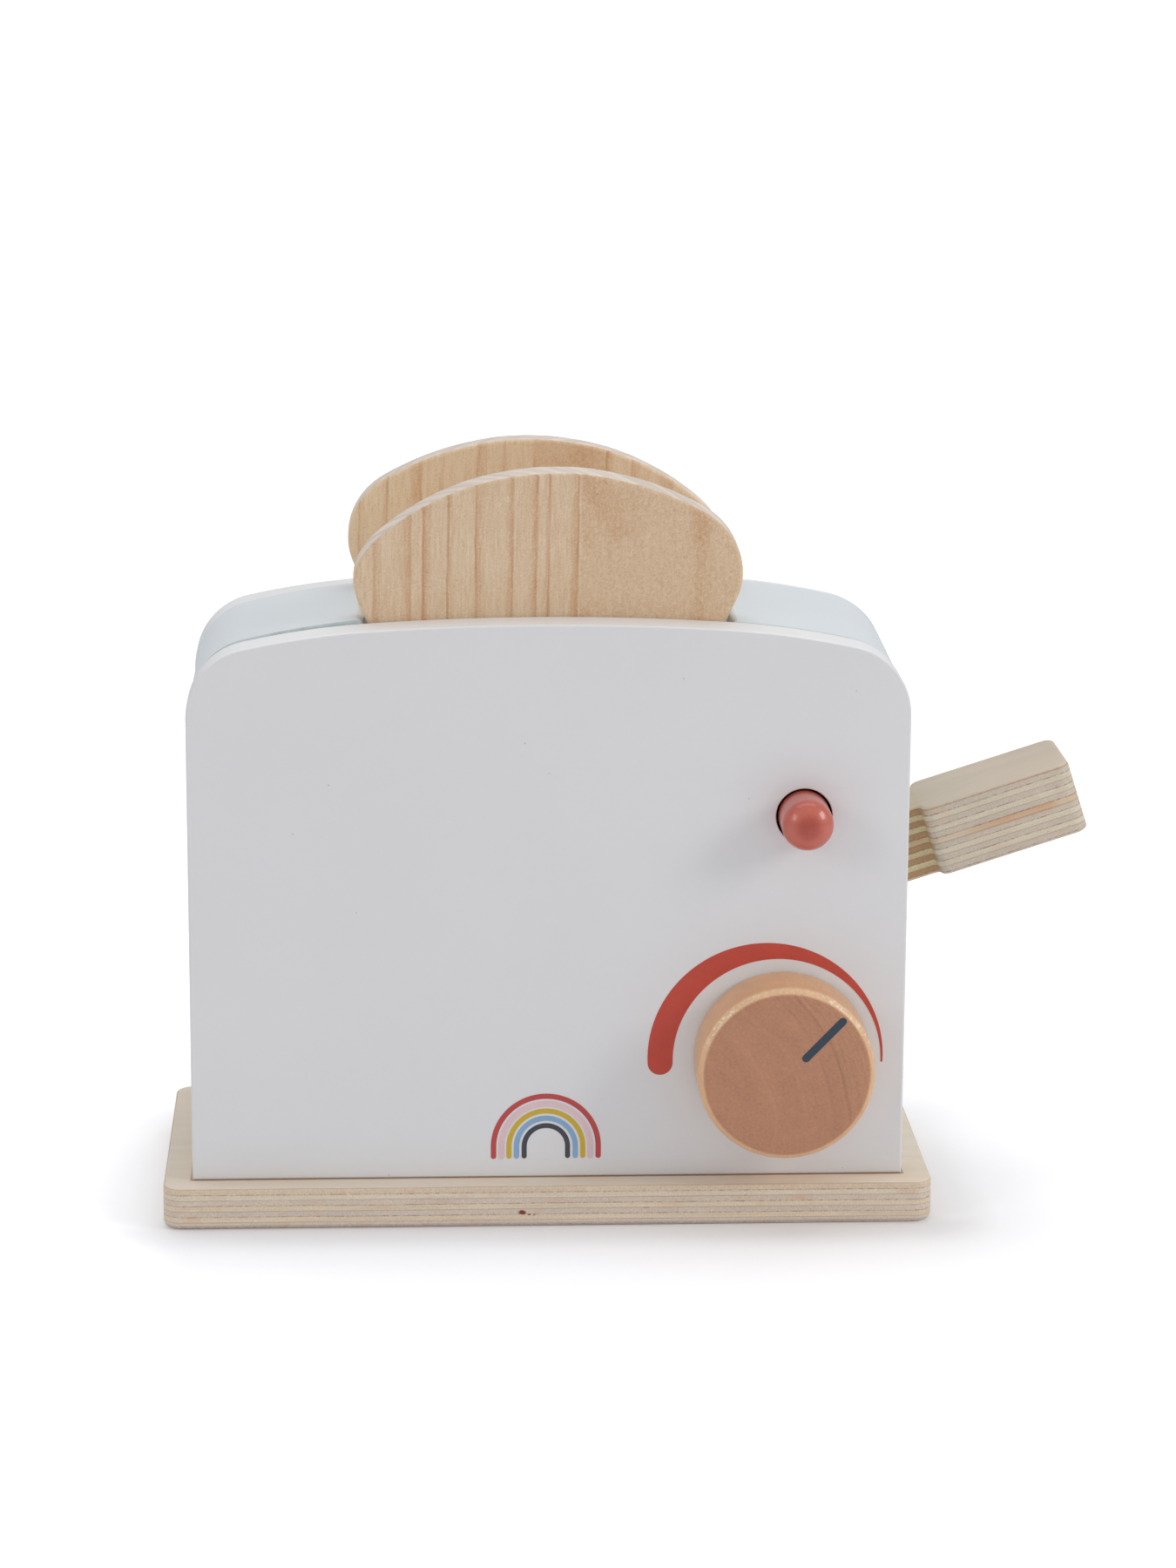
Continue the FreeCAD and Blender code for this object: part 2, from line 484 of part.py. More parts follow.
# ---------------------------------------------------------------- export
os.makedirs("parts", exist_ok=True)
for name, shape in PARTS.items():
    shape.exportStep(os.path.join("parts", name + ".step"))
    bb = shape.BoundBox
    print("%-22s X %7.1f %7.1f  Y %6.1f %6.1f  Z %6.1f %6.1f  vol %9.1f  solids %d" % (
        name, bb.XMin, bb.XMax, bb.YMin, bb.YMax, bb.ZMin, bb.ZMax, shape.Volume, len(shape.Solids)))
print("pivot", PIVOT_X, round(PIVOT_Z, 3), "lever angle", round(math.degrees(LEVER_ANGLE), 3), "nose z", round(nose_z, 3))
print("wall slot", round(SLOT_LOW, 2), round(SLOT_TOP, 2), "toast heights", round(front_height, 2), round(rear_height, 2))
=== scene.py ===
# Looks for a wooden play toaster: painted boards, birch plywood, pine slices, a varnished
# knob, a gloss push peg and flat prints, in plain soft studio light.
import bpy, bmesh, math
from mathutils import Vector, Matrix


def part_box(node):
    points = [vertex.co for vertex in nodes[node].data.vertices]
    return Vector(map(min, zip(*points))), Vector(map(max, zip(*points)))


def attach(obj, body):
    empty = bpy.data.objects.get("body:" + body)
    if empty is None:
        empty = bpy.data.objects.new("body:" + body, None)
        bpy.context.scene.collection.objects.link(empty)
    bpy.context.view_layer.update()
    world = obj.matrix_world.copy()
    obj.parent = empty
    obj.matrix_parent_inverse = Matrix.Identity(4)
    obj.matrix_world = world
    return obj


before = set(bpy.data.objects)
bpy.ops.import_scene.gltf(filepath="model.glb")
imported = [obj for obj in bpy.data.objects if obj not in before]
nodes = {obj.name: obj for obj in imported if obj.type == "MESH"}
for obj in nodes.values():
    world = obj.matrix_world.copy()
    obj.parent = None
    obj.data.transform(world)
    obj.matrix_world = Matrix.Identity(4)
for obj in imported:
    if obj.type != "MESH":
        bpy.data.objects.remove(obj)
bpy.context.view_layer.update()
scene = bpy.context.scene
scene.view_settings.view_transform = "Standard"
scene.view_settings.look = "None"

MM = 0.001
PIVOT_X, PIVOT_Z = 72.0, 89.325
LEVER_ANGLE = math.atan(0.325)
FILL = 0.50          # strength of the surroundings as a light
FLOOR_LIFT_FAR = 0.72    # how much whiter the far floor looks than it is lit
KNOB_X, KNOB_Z = 64.7, 46.7


# ---------------------------------------------------------------- node helpers
def lin(r, g, b):
    def f(c):
        c /= 255.0
        return c / 12.92 if c <= 0.04045 else ((c + 0.055) / 1.055) ** 2.4
    return (f(r), f(g), f(b), 1.0)


class Graph:
    def __init__(self, name, rough=0.5, spec=0.5, coat=0.0, coat_rough=0.1, metallic=0.0):
        self.mat = bpy.data.materials.new(name)
        self.mat.use_nodes = True
        self.t = self.mat.node_tree
        self.bsdf = self.t.nodes["Principled BSDF"]
        self.bsdf.inputs["Roughness"].default_value = rough
        self.bsdf.inputs["Specular IOR Level"].default_value = spec
        self.bsdf.inputs["Metallic"].default_value = metallic
        if coat:
            self.bsdf.inputs["Coat Weight"].default_value = coat
            self.bsdf.inputs["Coat Roughness"].default_value = coat_rough

    def n(self, kind, ins=None, **props):
        node = self.t.nodes.new(kind)
        for k, v in props.items():
            setattr(node, k, v)
        for k, v in (ins or {}).items():
            self.put(node.inputs[k], v)
        return node

    def put(self, socket, v):
        if isinstance(v, bpy.types.NodeSocket):
            self.t.links.new(v, socket)
        else:
            socket.default_value = v

    def m(self, op, a, b=None, c=None, clamp=False):
        node = self.t.nodes.new("ShaderNodeMath")
        node.operation = op
        node.use_clamp = clamp
        for i, v in enumerate((a, b, c)):
            if v is not None:
                self.put(node.inputs[i], v)
        return node.outputs[0]

    def obj(self):
        """Object coordinates in millimetres, as x, y, z."""
        tc = self.n("ShaderNodeTexCoord")
        v = self.n("ShaderNodeVectorMath", {0: tc.outputs["Object"]}, operation="SCALE")
        v.inputs["Scale"].default_value = 1000.0
        s = self.n("ShaderNodeSeparateXYZ", {0: v.outputs[0]})
        return s.outputs[0], s.outputs[1], s.outputs[2]

    def normal(self):
        tc = self.n("ShaderNodeTexCoord")
        s = self.n("ShaderNodeSeparateXYZ", {0: tc.outputs["Normal"]})
        return s.outputs[0], s.outputs[1], s.outputs[2]

    def vec(self, x, y, z):
        return self.n("ShaderNodeCombineXYZ", {0: x, 1: y, 2: z}).outputs[0]

    def scaled(self, xyz, sx, sy, sz, seed=0.0):
        x, y, z = xyz
        return self.vec(self.m("MULTIPLY_ADD", x, sx, seed), self.m("MULTIPLY_ADD", y, sy, seed * 0.7),
                        self.m("MULTIPLY_ADD", z, sz, seed * 1.3))

    def noise(self, vec, scale=1.0, detail=3.0, rough=0.5, dist=0.0):
        return self.n("ShaderNodeTexNoise", {"Vector": vec, "Scale": scale, "Detail": detail, "Roughness": rough,
                                             "Distortion": dist}).outputs["Fac"]

    def smooth(self, v, a, b, lo=0.0, hi=1.0):
        return self.n("ShaderNodeMapRange", {"Value": v, "From Min": a, "From Max": b, "To Min": lo, "To Max": hi},
                      interpolation_type="SMOOTHSTEP").outputs["Result"]

    def lerp(self, v, a, b, lo=0.0, hi=1.0):
        return self.n("ShaderNodeMapRange", {"Value": v, "From Min": a, "From Max": b, "To Min": lo, "To Max": hi}).outputs["Result"]

    def mix(self, fac, a, b, blend="MIX"):
        node = self.n("ShaderNodeMix", data_type="RGBA", blend_type=blend)
        node.clamp_factor = True
        self.put(node.inputs[0], fac)
        self.put(node.inputs[6], a)
        self.put(node.inputs[7], b)
        return node.outputs[2]

    def ramp(self, fac, stops, interp="LINEAR"):
        node = self.n("ShaderNodeValToRGB", {"Fac": fac})
        cr = node.color_ramp
        cr.interpolation = interp
        while len(cr.elements) > 1:
            cr.elements.remove(cr.elements[-1])
        cr.elements[0].position = stops[0][0]
        cr.elements[0].color = stops[0][1]
        for p, c in stops[1:]:
            e = cr.elements.new(p)
            e.color = c
        return node.outputs["Color"]

    def tone(self, colour, value):
        """The colour times a grey value."""
        if isinstance(colour, tuple):
            colour = colour[:3]
        v = self.n("ShaderNodeVectorMath", {0: colour}, operation="SCALE")
        self.put(v.inputs["Scale"], value)
        return v.outputs[0]

    def bump(self, height, strength, distance_mm):
        b = self.n("ShaderNodeBump", {"Height": height, "Strength": strength, "Distance": distance_mm * MM})
        self.t.links.new(b.outputs[0], self.bsdf.inputs["Normal"])
        return b

    def colour(self, socket):
        self.t.links.new(socket, self.bsdf.inputs["Base Color"])

    def rough(self, socket):
        self.t.links.new(socket, self.bsdf.inputs["Roughness"])


def grey(v):
    return (v, v, v, 1.0)


# ---------------------------------------------------------------- materials
def paint(name, colour, rough, seed, specks=0.5, mottle=0.02, painted_top_light=None, bore=None, seam_shadow=None):
    g = Graph(name, rough=rough, spec=0.45)
    p = g.obj()
    big = g.noise(g.scaled(p, 1 / 45, 1 / 45, 1 / 45, seed), 1.0, 2.0)
    fine = g.noise(g.scaled(p, 1 / 1.6, 1 / 1.6, 1 / 1.6, seed), 1.0, 3.0, 0.6)
    val = g.m("ADD", g.lerp(big, 0.3, 0.7, 1 - mottle, 1 + mottle), g.lerp(fine, 0.3, 0.7, -mottle * 0.35, mottle * 0.35))
    col = g.tone(colour, val)
    # sparse specks of dust and board fibre in the paint
    vor = g.n("ShaderNodeTexVoronoi", {"Vector": g.scaled(p, 1 / 9, 1 / 9, 1 / 9, seed), "Scale": 1.0, "Randomness": 1.0})
    pick = g.n("ShaderNodeSeparateColor", {0: vor.outputs["Color"]})
    chosen = g.smooth(pick.outputs[0], 0.55, 0.75)
    size = g.lerp(pick.outputs[1], 0, 1, 0.010, 0.034)
    dot = g.m("MULTIPLY", g.m("MULTIPLY", g.m("LESS_THAN", vor.outputs["Distance"], size), chosen), specks)
    col = g.mix(dot, col, tuple(c * 0.55 for c in colour[:3]) + (1.0,))
    if painted_top_light is not None:
        # painted light: the curved top and other upward-facing surfaces are painted lighter
        nz = g.normal()[2]
        col = g.mix(g.smooth(nz, 0.45, 0.95), col, g.tone(painted_top_light, val))
    if bore is not None:
        # inside the drilled hole: raw board, darkened to near black with painted shade
        bx, bz, br = bore
        ex, ez = g.m("SUBTRACT", p[0], bx), g.m("SUBTRACT", p[2], bz)
        e = g.m("SQRT", g.m("ADD", g.m("MULTIPLY", ex, ex), g.m("MULTIPLY", ez, ez)))
        deep = g.m("MULTIPLY", g.smooth(e, br + 0.12, br), g.m("MULTIPLY", g.smooth(p[1], -39.85, -39.3), g.m("LESS_THAN", p[1], -27.9)))
        col = g.mix(deep, col, lin(34, 18, 16))
    if seam_shadow is not None:
        # painted shadow along the joint against the front board
        line = g.m("MULTIPLY", g.smooth(g.m("ABSOLUTE", g.m("ADD", p[1], 28.0)), 1.10, 0.60), g.smooth(p[2], 134.0, 140.0))
        wob = g.noise(g.scaled(p, 1 / 5, 1 / 5, 1 / 5, seed), 1.0, 3.0)
        col = g.mix(g.m("MULTIPLY", line, g.lerp(wob, 0.3, 0.7, 0.55, 0.95)), col, seam_shadow)
    g.colour(col)
    g.rough(g.lerp(fine, 0.25, 0.75, rough - 0.04, rough + 0.06))
    peel = g.noise(g.scaled(p, 1 / 0.9, 1 / 0.9, 1 / 0.9, seed), 1.0, 2.0)
    wave = g.noise(g.scaled(p, 1 / 7, 1 / 7, 1 / 7, seed), 1.0, 2.0)
    h = g.m("ADD", g.m("MULTIPLY", peel, 0.35), wave)
    g.bump(h, 0.25, 0.05)
    return g.mat


def plywood(name, coords, plies, thick, w0, seed, face, tones, glue, knots=(), warm_ply=None, warm=None,
            warm_span=(0.0, 1.0), junction=None, neck=None, brighter=None, front_line=False, foot_shade=None):
    """Solid plywood: its own tone for each ply, glue lines, and a face ply with long grain along the first axis."""
    g = Graph(name, rough=0.5, spec=0.4)
    u, v, w = coords(g)
    warp = g.noise(g.vec(g.m("MULTIPLY", u, 1 / 60), g.m("MULTIPLY", v, 1 / 60), seed), 1.0, 2.0)
    lay = g.m("ADD", g.m("DIVIDE", g.m("SUBTRACT", w, w0), thick), g.lerp(warp, 0.3, 0.7, -0.06, 0.06))
    lay = g.m("MINIMUM", g.m("MAXIMUM", lay, 0.01), plies - 0.01)
    idx = g.m("FLOOR", lay)
    f = g.m("FRACT", lay)
    odd = g.m("MODULO", idx, 2.0)
    # long grain along u in even plies, along v in odd ones
    shift = g.m("MULTIPLY", idx, 7.3)
    su = g.vec(g.m("MULTIPLY_ADD", u, 1 / 30, shift), g.m("MULTIPLY", v, 1 / 0.9), g.m("MULTIPLY", w, 1 / 0.35))
    sv = g.vec(g.m("MULTIPLY_ADD", u, 1 / 0.7, shift), g.m("MULTIPLY", v, 1 / 30), g.m("MULTIPLY", w, 1 / 0.5))
    nu = g.noise(su, 1.0, 4.0, 0.6)
    nv = g.noise(sv, 1.0, 4.0, 0.65)
    grain = g.m("ADD", g.m("MULTIPLY", nu, g.m("SUBTRACT", 1.0, odd)), g.m("MULTIPLY", nv, odd))
    patch = g.noise(g.vec(g.m("MULTIPLY_ADD", u, 1 / 14, shift), g.m("MULTIPLY", v, 1 / 14), idx), 1.0, 2.0)
    inner = g.ramp(g.m("DIVIDE", g.m("ADD", idx, 0.5), float(plies)), [(k / plies, c) for k, c in enumerate(tones)], "CONSTANT")
    pepper = g.noise(g.vec(g.m("MULTIPLY", u, 1 / 0.34), g.m("MULTIPLY", v, 1 / 0.34), g.m("MULTIPLY", w, 1 / 0.5)), 1.0, 2.0, 0.6)
    inner = g.tone(inner, g.m("ADD", g.m("ADD", g.lerp(grain, 0.25, 0.75, 0.90, 1.10), g.lerp(patch, 0.3, 0.7, -0.04, 0.04)),
                              g.lerp(pepper, 0.3, 0.7, -0.11, 0.11)))
    # faint warm stain here and there
    stain = g.noise(g.vec(g.m("MULTIPLY_ADD", u, 1 / 10, g.m("MULTIPLY", idx, 3.7)), g.m("MULTIPLY", v, 1 / 10), g.m("MULTIPLY", idx, 2.1)), 1.0, 3.0)
    inner = g.mix(g.smooth(stain, 0.56, 0.76, 0.0, 0.35), inner, lin(222, 174, 140))
    # face veneer: slow rotary-cut figure and fine pores
    fig = g.noise(g.vec(g.m("MULTIPLY", u, 1 / 90), g.m("MULTIPLY", v, 1 / 9), g.m("MULTIPLY", w, 1 / 30)), 1.0, 4.0, 0.55, 0.8)
    pore = g.noise(g.vec(g.m("MULTIPLY", u, 1 / 7), g.m("MULTIPLY", v, 1 / 0.32), g.m("MULTIPLY", w, 1 / 0.5)), 1.0, 3.0, 0.6)
    fval = g.m("ADD", g.lerp(fig, 0.3, 0.7, 0.95, 1.04), g.lerp(pore, 0.3, 0.7, -0.04, 0.035))
    if brighter is not None:
        fval = g.m("MULTIPLY", fval, g.smooth(u, brighter[0], brighter[1], 1.0, brighter[2]))
    fcol = g.tone(face, fval)
    outer = g.m("ADD", g.m("LESS_THAN", lay, 1.0), g.m("GREATER_THAN", lay, plies - 1.0), clamp=True)
    nrm = g.normal()
    flat = g.smooth(g.m("ABSOLUTE", nrm[2]), 0.35, 0.75)
    skin = g.m("MAXIMUM", g.m("MULTIPLY", outer, flat), 0.0)
    col = g.mix(skin, inner, fcol)
    if warm_ply is not None:
        is_warm = g.smooth(g.m("ABSOLUTE", g.m("SUBTRACT", g.m("ADD", lay, g.lerp(pepper, 0.3, 0.7, -0.18, 0.18)), warm_ply + 0.5)), 0.78, 0.58)
        along = g.noise(g.vec(g.m("MULTIPLY", u, 1 / 9), g.m("MULTIPLY", v, 1 / 22), 3.3), 1.0, 3.0)
        amount = g.m("MULTIPLY", g.m("MULTIPLY", g.smooth(u, warm_span[0], warm_span[1], 0.30, 0.85), g.smooth(u, warm_span[1] + 16, warm_span[1] + 10, 0.45, 1.0)),
                     g.m("MULTIPLY", g.lerp(along, 0.3, 0.6, 0.60, 1.0), g.lerp(pepper, 0.35, 0.65, 0.65, 1.1)))
        col = g.mix(g.m("MULTIPLY", is_warm, amount, clamp=True), col, g.tone(warm, g.lerp(grain, 0.25, 0.75, 0.86, 1.1)))
    # glue lines: every second one broken into dashes, the others thin and even
    near = g.m("ROUND", lay)
    d = g.m("MULTIPLY", g.m("MINIMUM", f, g.m("SUBTRACT", 1.0, f)), thick)
    brk = g.noise(g.vec(g.m("MULTIPLY", u, 1 / 1.1), g.m("MULTIPLY", v, 1 / 1.1), g.m("MULTIPLY", near, 5.1)), 1.0, 3.0, 0.7)
    long_brk = g.noise(g.vec(g.m("MULTIPLY", u, 1 / 16), g.m("MULTIPLY", v, 1 / 16), g.m("MULTIPLY", near, 3.1)), 1.0, 2.0)
    dashed = g.m("MODULO", near, 2.0)
    width = g.m("ADD", 0.15, g.m("MULTIPLY", g.lerp(brk, 0.35, 0.65, -0.03, 0.07), g.m("MULTIPLY_ADD", dashed, 0.8, 0.2)))
    line = g.smooth(d, g.m("MULTIPLY", width, 1.25), 0.0)
    part = g.m("ADD", g.m("MULTIPLY", dashed, g.smooth(brk, 0.42, 0.60, 0.40, 1.0)), g.m("MULTIPLY", g.m("SUBTRACT", 1.0, dashed), 0.60))
    line = g.m("MULTIPLY", g.m("MULTIPLY", line, part), g.lerp(long_brk, 0.3, 0.7, 0.65, 1.0))
    inside = g.m("MULTIPLY", g.m("GREATER_THAN", lay, 0.5), g.m("LESS_THAN", lay, plies - 0.5))
    line = g.m("MULTIPLY", line, inside)
    col = g.mix(line, col, glue)
    # small voids and flecks in the core plies
    fl = g.n("ShaderNodeTexVoronoi", {"Vector": g.vec(g.m("MULTIPLY", u, 1 / 5.5), g.m("MULTIPLY", v, 1 / 5.5), g.m("MULTIPLY", w, 1 / 1.4)),
                                      "Scale": 1.0, "Randomness": 1.0})
    fp = g.n("ShaderNodeSeparateColor", {0: fl.outputs["Color"]})
    fleck = g.m("MULTIPLY", g.m("MULTIPLY", g.smooth(fl.outputs["Distance"], 0.10, 0.03), g.m("GREATER_THAN", fp.outputs[0], 0.8)),
                g.m("SUBTRACT", 1.0, outer))
    col = g.mix(g.m("MULTIPLY", fleck, 0.55), col, lin(140, 105, 84))
    for (ku, kv, kw), (ru, rv, rw), kc in knots:
        a = g.m("POWER", g.m("DIVIDE", g.m("SUBTRACT", u, ku), ru), 2.0)
        b = g.m("POWER", g.m("DIVIDE", g.m("SUBTRACT", v, kv), rv), 2.0)
        c = g.m("POWER", g.m("DIVIDE", g.m("SUBTRACT", w, kw), rw), 2.0)
        r = g.m("ADD", g.m("SQRT", g.m("ADD", g.m("ADD", a, b), c)), g.lerp(brk, 0.3, 0.7, -0.3, 0.3))
        col = g.mix(g.smooth(r, 1.1, 0.6), col, kc)
    if junction is not None:
        # painted shade: a thin brown contact line where the boards stand on the plate
        hx, hy = junction
        e = g.m("MAXIMUM", g.m("SUBTRACT", g.m("ABSOLUTE", u), hx), g.m("SUBTRACT", g.m("ABSOLUTE", v), hy))
        contact_shade = g.m("MULTIPLY", g.smooth(e, 0.9, 0.35), flat)
        col = g.mix(g.m("MULTIPLY", contact_shade, g.lerp(long_brk, 0.3, 0.7, 0.6, 0.9)), col, lin(148, 112, 82))
        glow = g.m("MULTIPLY", g.smooth(e, 5.5, 0.8), flat)
        col = g.mix(g.m("MULTIPLY", glow, g.lerp(long_brk, 0.35, 0.65, 0.0, 0.22)), col, lin(224, 188, 146))
    if front_line:
        # the first glue line shows orange-brown just under the front edge
        rim = g.m("MULTIPLY", g.smooth(g.m("ABSOLUTE", g.m("SUBTRACT", lay, plies - 1.0)), 0.24, 0.05), g.m("LESS_THAN", v, 0.0))
        col = g.mix(g.m("MULTIPLY", rim, g.lerp(brk, 0.35, 0.6, 0.10, 0.60)), col, lin(184, 142, 114))
    if foot_shade is not None:
        # painted shade: the lowest edge is darkened brown where it meets the floor
        low = g.m("MULTIPLY", g.smooth(w, 1.6, 0.5), g.m("SUBTRACT", 1.0, flat))
        col = g.mix(g.m("MULTIPLY", low, g.lerp(brk, 0.35, 0.6, 0.45, 0.80)), col, foot_shade)
    if neck is not None:
        # the narrow part is warmer and darker: partly more varnish, partly painted shade where it sits in the slot
        deep = g.m("MULTIPLY", g.smooth(u, neck + 1.2, neck - 0.6), g.m("SUBTRACT", 1.0, g.m("MULTIPLY", flat, 0.5)))
        col = g.mix(deep, col, g.mix(1.0, col, g.mix(odd, lin(252, 246, 220), lin(228, 196, 158)), "MULTIPLY"))
    g.colour(col)
    g.rough(g.lerp(grain, 0.25, 0.75, 0.42, 0.56))
    h = g.m("SUBTRACT", g.m("ADD", g.m("MULTIPLY", grain, 0.5), g.m("MULTIPLY", pore, 0.25)), g.m("MULTIPLY", line, 0.9))
    g.bump(h, 0.30, 0.07)
    return g.mat


def base_coords(g):
    return g.obj()


def lever_coords(g):
    x, y, z = g.obj()
    dx, dz = g.m("SUBTRACT", x, PIVOT_X), g.m("SUBTRACT", z, PIVOT_Z)
    c, s = math.cos(LEVER_ANGLE), math.sin(LEVER_ANGLE)
    u = g.m("ADD", g.m("MULTIPLY", dx, c), g.m("MULTIPLY", dz, s))
    w = g.m("SUBTRACT", g.m("MULTIPLY", dz, c), g.m("MULTIPLY", dx, s))
    return u, y, w


def pine(name, centre_x, rings, flat, seed, early, late, dark, rim, y0, slant):
    """Pine slice: growth rings as bands across the width, each with one sharp side, upright fibre, flat-sawn part."""
    g = Graph(name, rough=0.5, spec=0.4)
    x, y, z = g.obj()
    u = g.m("SUBTRACT", x, centre_x)
    wob = g.noise(g.vec(g.m("MULTIPLY", u, 1 / 30), seed, g.m("MULTIPLY", z, 1 / 60)), 1.0, 2.0)
    drift = g.m("MULTIPLY", g.m("SUBTRACT", y, y0), slant)
    lean = g.m("MULTIPLY", g.m("SUBTRACT", z, 185.0), 0.010)
    t0 = g.m("ADD", g.m("ADD", g.m("ADD", u, drift), lean), g.lerp(wob, 0.3, 0.7, -0.45, 0.45))
    jag = g.noise(g.vec(g.m("MULTIPLY", u, 1 / 1.5), g.m("MULTIPLY", y, 1 / 1.5), g.m("MULTIPLY", z, 1 / 5)), 1.0, 3.0, 0.6)
    t = g.m("ADD", t0, g.lerp(jag, 0.3, 0.7, -0.10, 0.10))
    span = 124.0
    pos = g.m("DIVIDE", g.m("ADD", t, span / 2), span)

    def at(mm):
        return (mm + span / 2) / span
    band, edge_line = [(0.0, grey(0.0))], [(0.0, grey(0.0))]
    for a, b, sharp, k, e in rings:
        if sharp < 0:
            band += [(at(a - 0.18), grey(0.0)), (at(a), grey(k)), (at(b), grey(0.0))]
            where = a + 0.12
        else:
            band += [(at(a), grey(0.0)), (at(b), grey(k)), (at(b + 0.18), grey(0.0))]
            where = b - 0.12
        edge_line += [(at(where - 0.32), grey(0.0)), (at(where), grey(e)), (at(where + 0.32), grey(0.0))]
    band, edge_line = sorted(band, key=lambda q: q[0])[:32], sorted(edge_line, key=lambda q: q[0])[:32]
    ring = g.n("ShaderNodeSeparateColor", {0: g.ramp(pos, band)}).outputs[0]
    crisp = g.n("ShaderNodeSeparateColor", {0: g.ramp(pos, edge_line)}).outputs[0]
    # uneven along the height, so lines fade in and out
    fade = g.noise(g.vec(g.m("MULTIPLY", t, 1 / 5), seed, g.m("MULTIPLY", z, 1 / 22)), 1.0, 3.0)
    ring = g.m("MULTIPLY", ring, g.lerp(fade, 0.3, 0.7, 0.70, 1.15))
    crisp = g.m("MULTIPLY", crisp, g.lerp(fade, 0.34, 0.62, 0.25, 1.0))
    # flat-sawn part: wide soft figure
    n1 = g.noise(g.vec(g.m("MULTIPLY", u, 1 / 24), g.m("MULTIPLY", y, 1 / 24), g.m("MULTIPLY_ADD", z, 1 / 60, seed)), 1.0, 3.0, 0.5, 0.4)
    cath = g.m("MULTIPLY_ADD", g.m("SINE", g.m("ADD", g.m("MULTIPLY", n1, 24.0), g.m("MULTIPLY", u, 0.20))), 0.5, 0.5)
    cath = g.m("MULTIPLY", g.m("POWER", cath, 1.6), 0.34)
    side = g.m("MULTIPLY", g.smooth(t, flat[0], flat[0] + 0.8), g.smooth(t, flat[1], flat[1] - 1.5))
    dens = g.m("ADD", g.m("MULTIPLY", ring, g.m("SUBTRACT", 1.0, g.m("MULTIPLY", side, 0.6))), g.m("MULTIPLY", cath, side))
    fibre = g.noise(g.vec(g.m("MULTIPLY", t, 1 / 0.62), g.m("MULTIPLY", y, 1 / 0.62), g.m("MULTIPLY", z, 1 / 9)), 1.0, 4.0, 0.72)
    worm = g.noise(g.vec(g.m("MULTIPLY", u, 1 / 1.0), g.m("MULTIPLY", y, 1 / 1.0), g.m("MULTIPLY", z, 1 / 1.1)), 1.0, 3.0, 0.6, 0.9)
    speck = g.noise(g.vec(g.m("MULTIPLY", u, 1 / 0.38), g.m("MULTIPLY", y, 1 / 0.38), g.m("MULTIPLY", z, 1 / 0.42)), 1.0, 2.0, 0.6)
    patch = g.noise(g.vec(g.m("MULTIPLY", u, 1 / 11), g.m("MULTIPLY", y, 1 / 11), g.m("MULTIPLY", z, 1 / 18)), 1.0, 2.0)
    col = g.mix(g.m("MINIMUM", dens, 1.0), early, late)
    col = g.mix(g.m("MULTIPLY", g.smooth(patch, 0.48, 0.72), g.m("MULTIPLY_ADD", side, 0.25, 0.12)), col, late)
    val = g.m("ADD", g.m("MULTIPLY", g.lerp(fibre, 0.3, 0.7, -0.125, 0.105), g.m("MULTIPLY_ADD", side, -0.5, 1.0)),
              g.m("MULTIPLY", g.lerp(worm, 0.3, 0.7, -0.125, 0.11), g.m("MULTIPLY_ADD", side, 0.85, 0.15)))
    val = g.m("ADD", g.m("ADD", val, 1.0), g.lerp(speck, 0.3, 0.7, -0.10, 0.10))
    under = g.m("MULTIPLY", g.m("MAXIMUM", g.m("SUBTRACT", 1.0, val), 0.0), 3.6)
    over = g.m("MULTIPLY", g.m("MAXIMUM", g.m("SUBTRACT", val, 1.0), 0.0), 3.6)
    col = g.mix(under, col, g.mix(1.0, col, (0.80, 0.66, 0.50, 1.0), "MULTIPLY"))
    col = g.mix(over, col, g.tone(lin(246, 226, 197), 1.0))
    col = g.mix(g.m("MULTIPLY", side, 0.16), col, lin(204, 158, 116))
    col = g.mix(g.m("MULTIPLY", g.m("MINIMUM", crisp, 1.0), 0.62), col, dark)
    # a few short resin flecks
    vor = g.n("ShaderNodeTexVoronoi", {"Vector": g.vec(g.m("MULTIPLY", t, 1 / 9), g.m("MULTIPLY", y, 1 / 9), g.m("MULTIPLY", z, 1 / 24)),
                                       "Scale": 1.0, "Randomness": 1.0})
    vp = g.n("ShaderNodeSeparateColor", {0: vor.outputs["Color"]})
    fleck = g.m("MULTIPLY", g.smooth(vor.outputs["Distance"], 0.055, 0.02), g.m("GREATER_THAN", vp.outputs[0], 0.70))
    col = g.mix(g.m("MULTIPLY", fleck, 0.7), col, lin(158, 100, 66))
    # end grain on the rounded rim is greyer, with slanting stripes of the rings
    nx, ny, nz = g.normal()
    edge = g.smooth(g.m("ABSOLUTE", ny), 0.74, 0.50)
    up = g.smooth(g.m("ABSOLUTE", nz), 0.12, 0.65)
    stripe = g.noise(g.vec(g.m("MULTIPLY", t, 1 / 3.0), seed, 0.0), 1.0, 2.0)
    endc = g.tone(rim, g.m("ADD", g.lerp(speck, 0.3, 0.7, 0.96, 1.04), g.lerp(stripe, 0.38, 0.62, 0.09, -0.11)))
    col = g.mix(g.m("MULTIPLY", edge, up), col, endc)
    cream = g.m("MULTIPLY", edge, g.m("SUBTRACT", 1.0, up))
    col = g.mix(g.m("MULTIPLY", cream, 0.55), col, lin(238, 216, 182))
    g.colour(col)
    g.rough(g.lerp(fibre, 0.3, 0.7, 0.44, 0.58))
    h = g.m("ADD", g.m("MULTIPLY", fibre, 0.6), g.m("MULTIPLY", dens, 0.3))
    g.bump(h, 0.3, 0.07)
    return g.mat


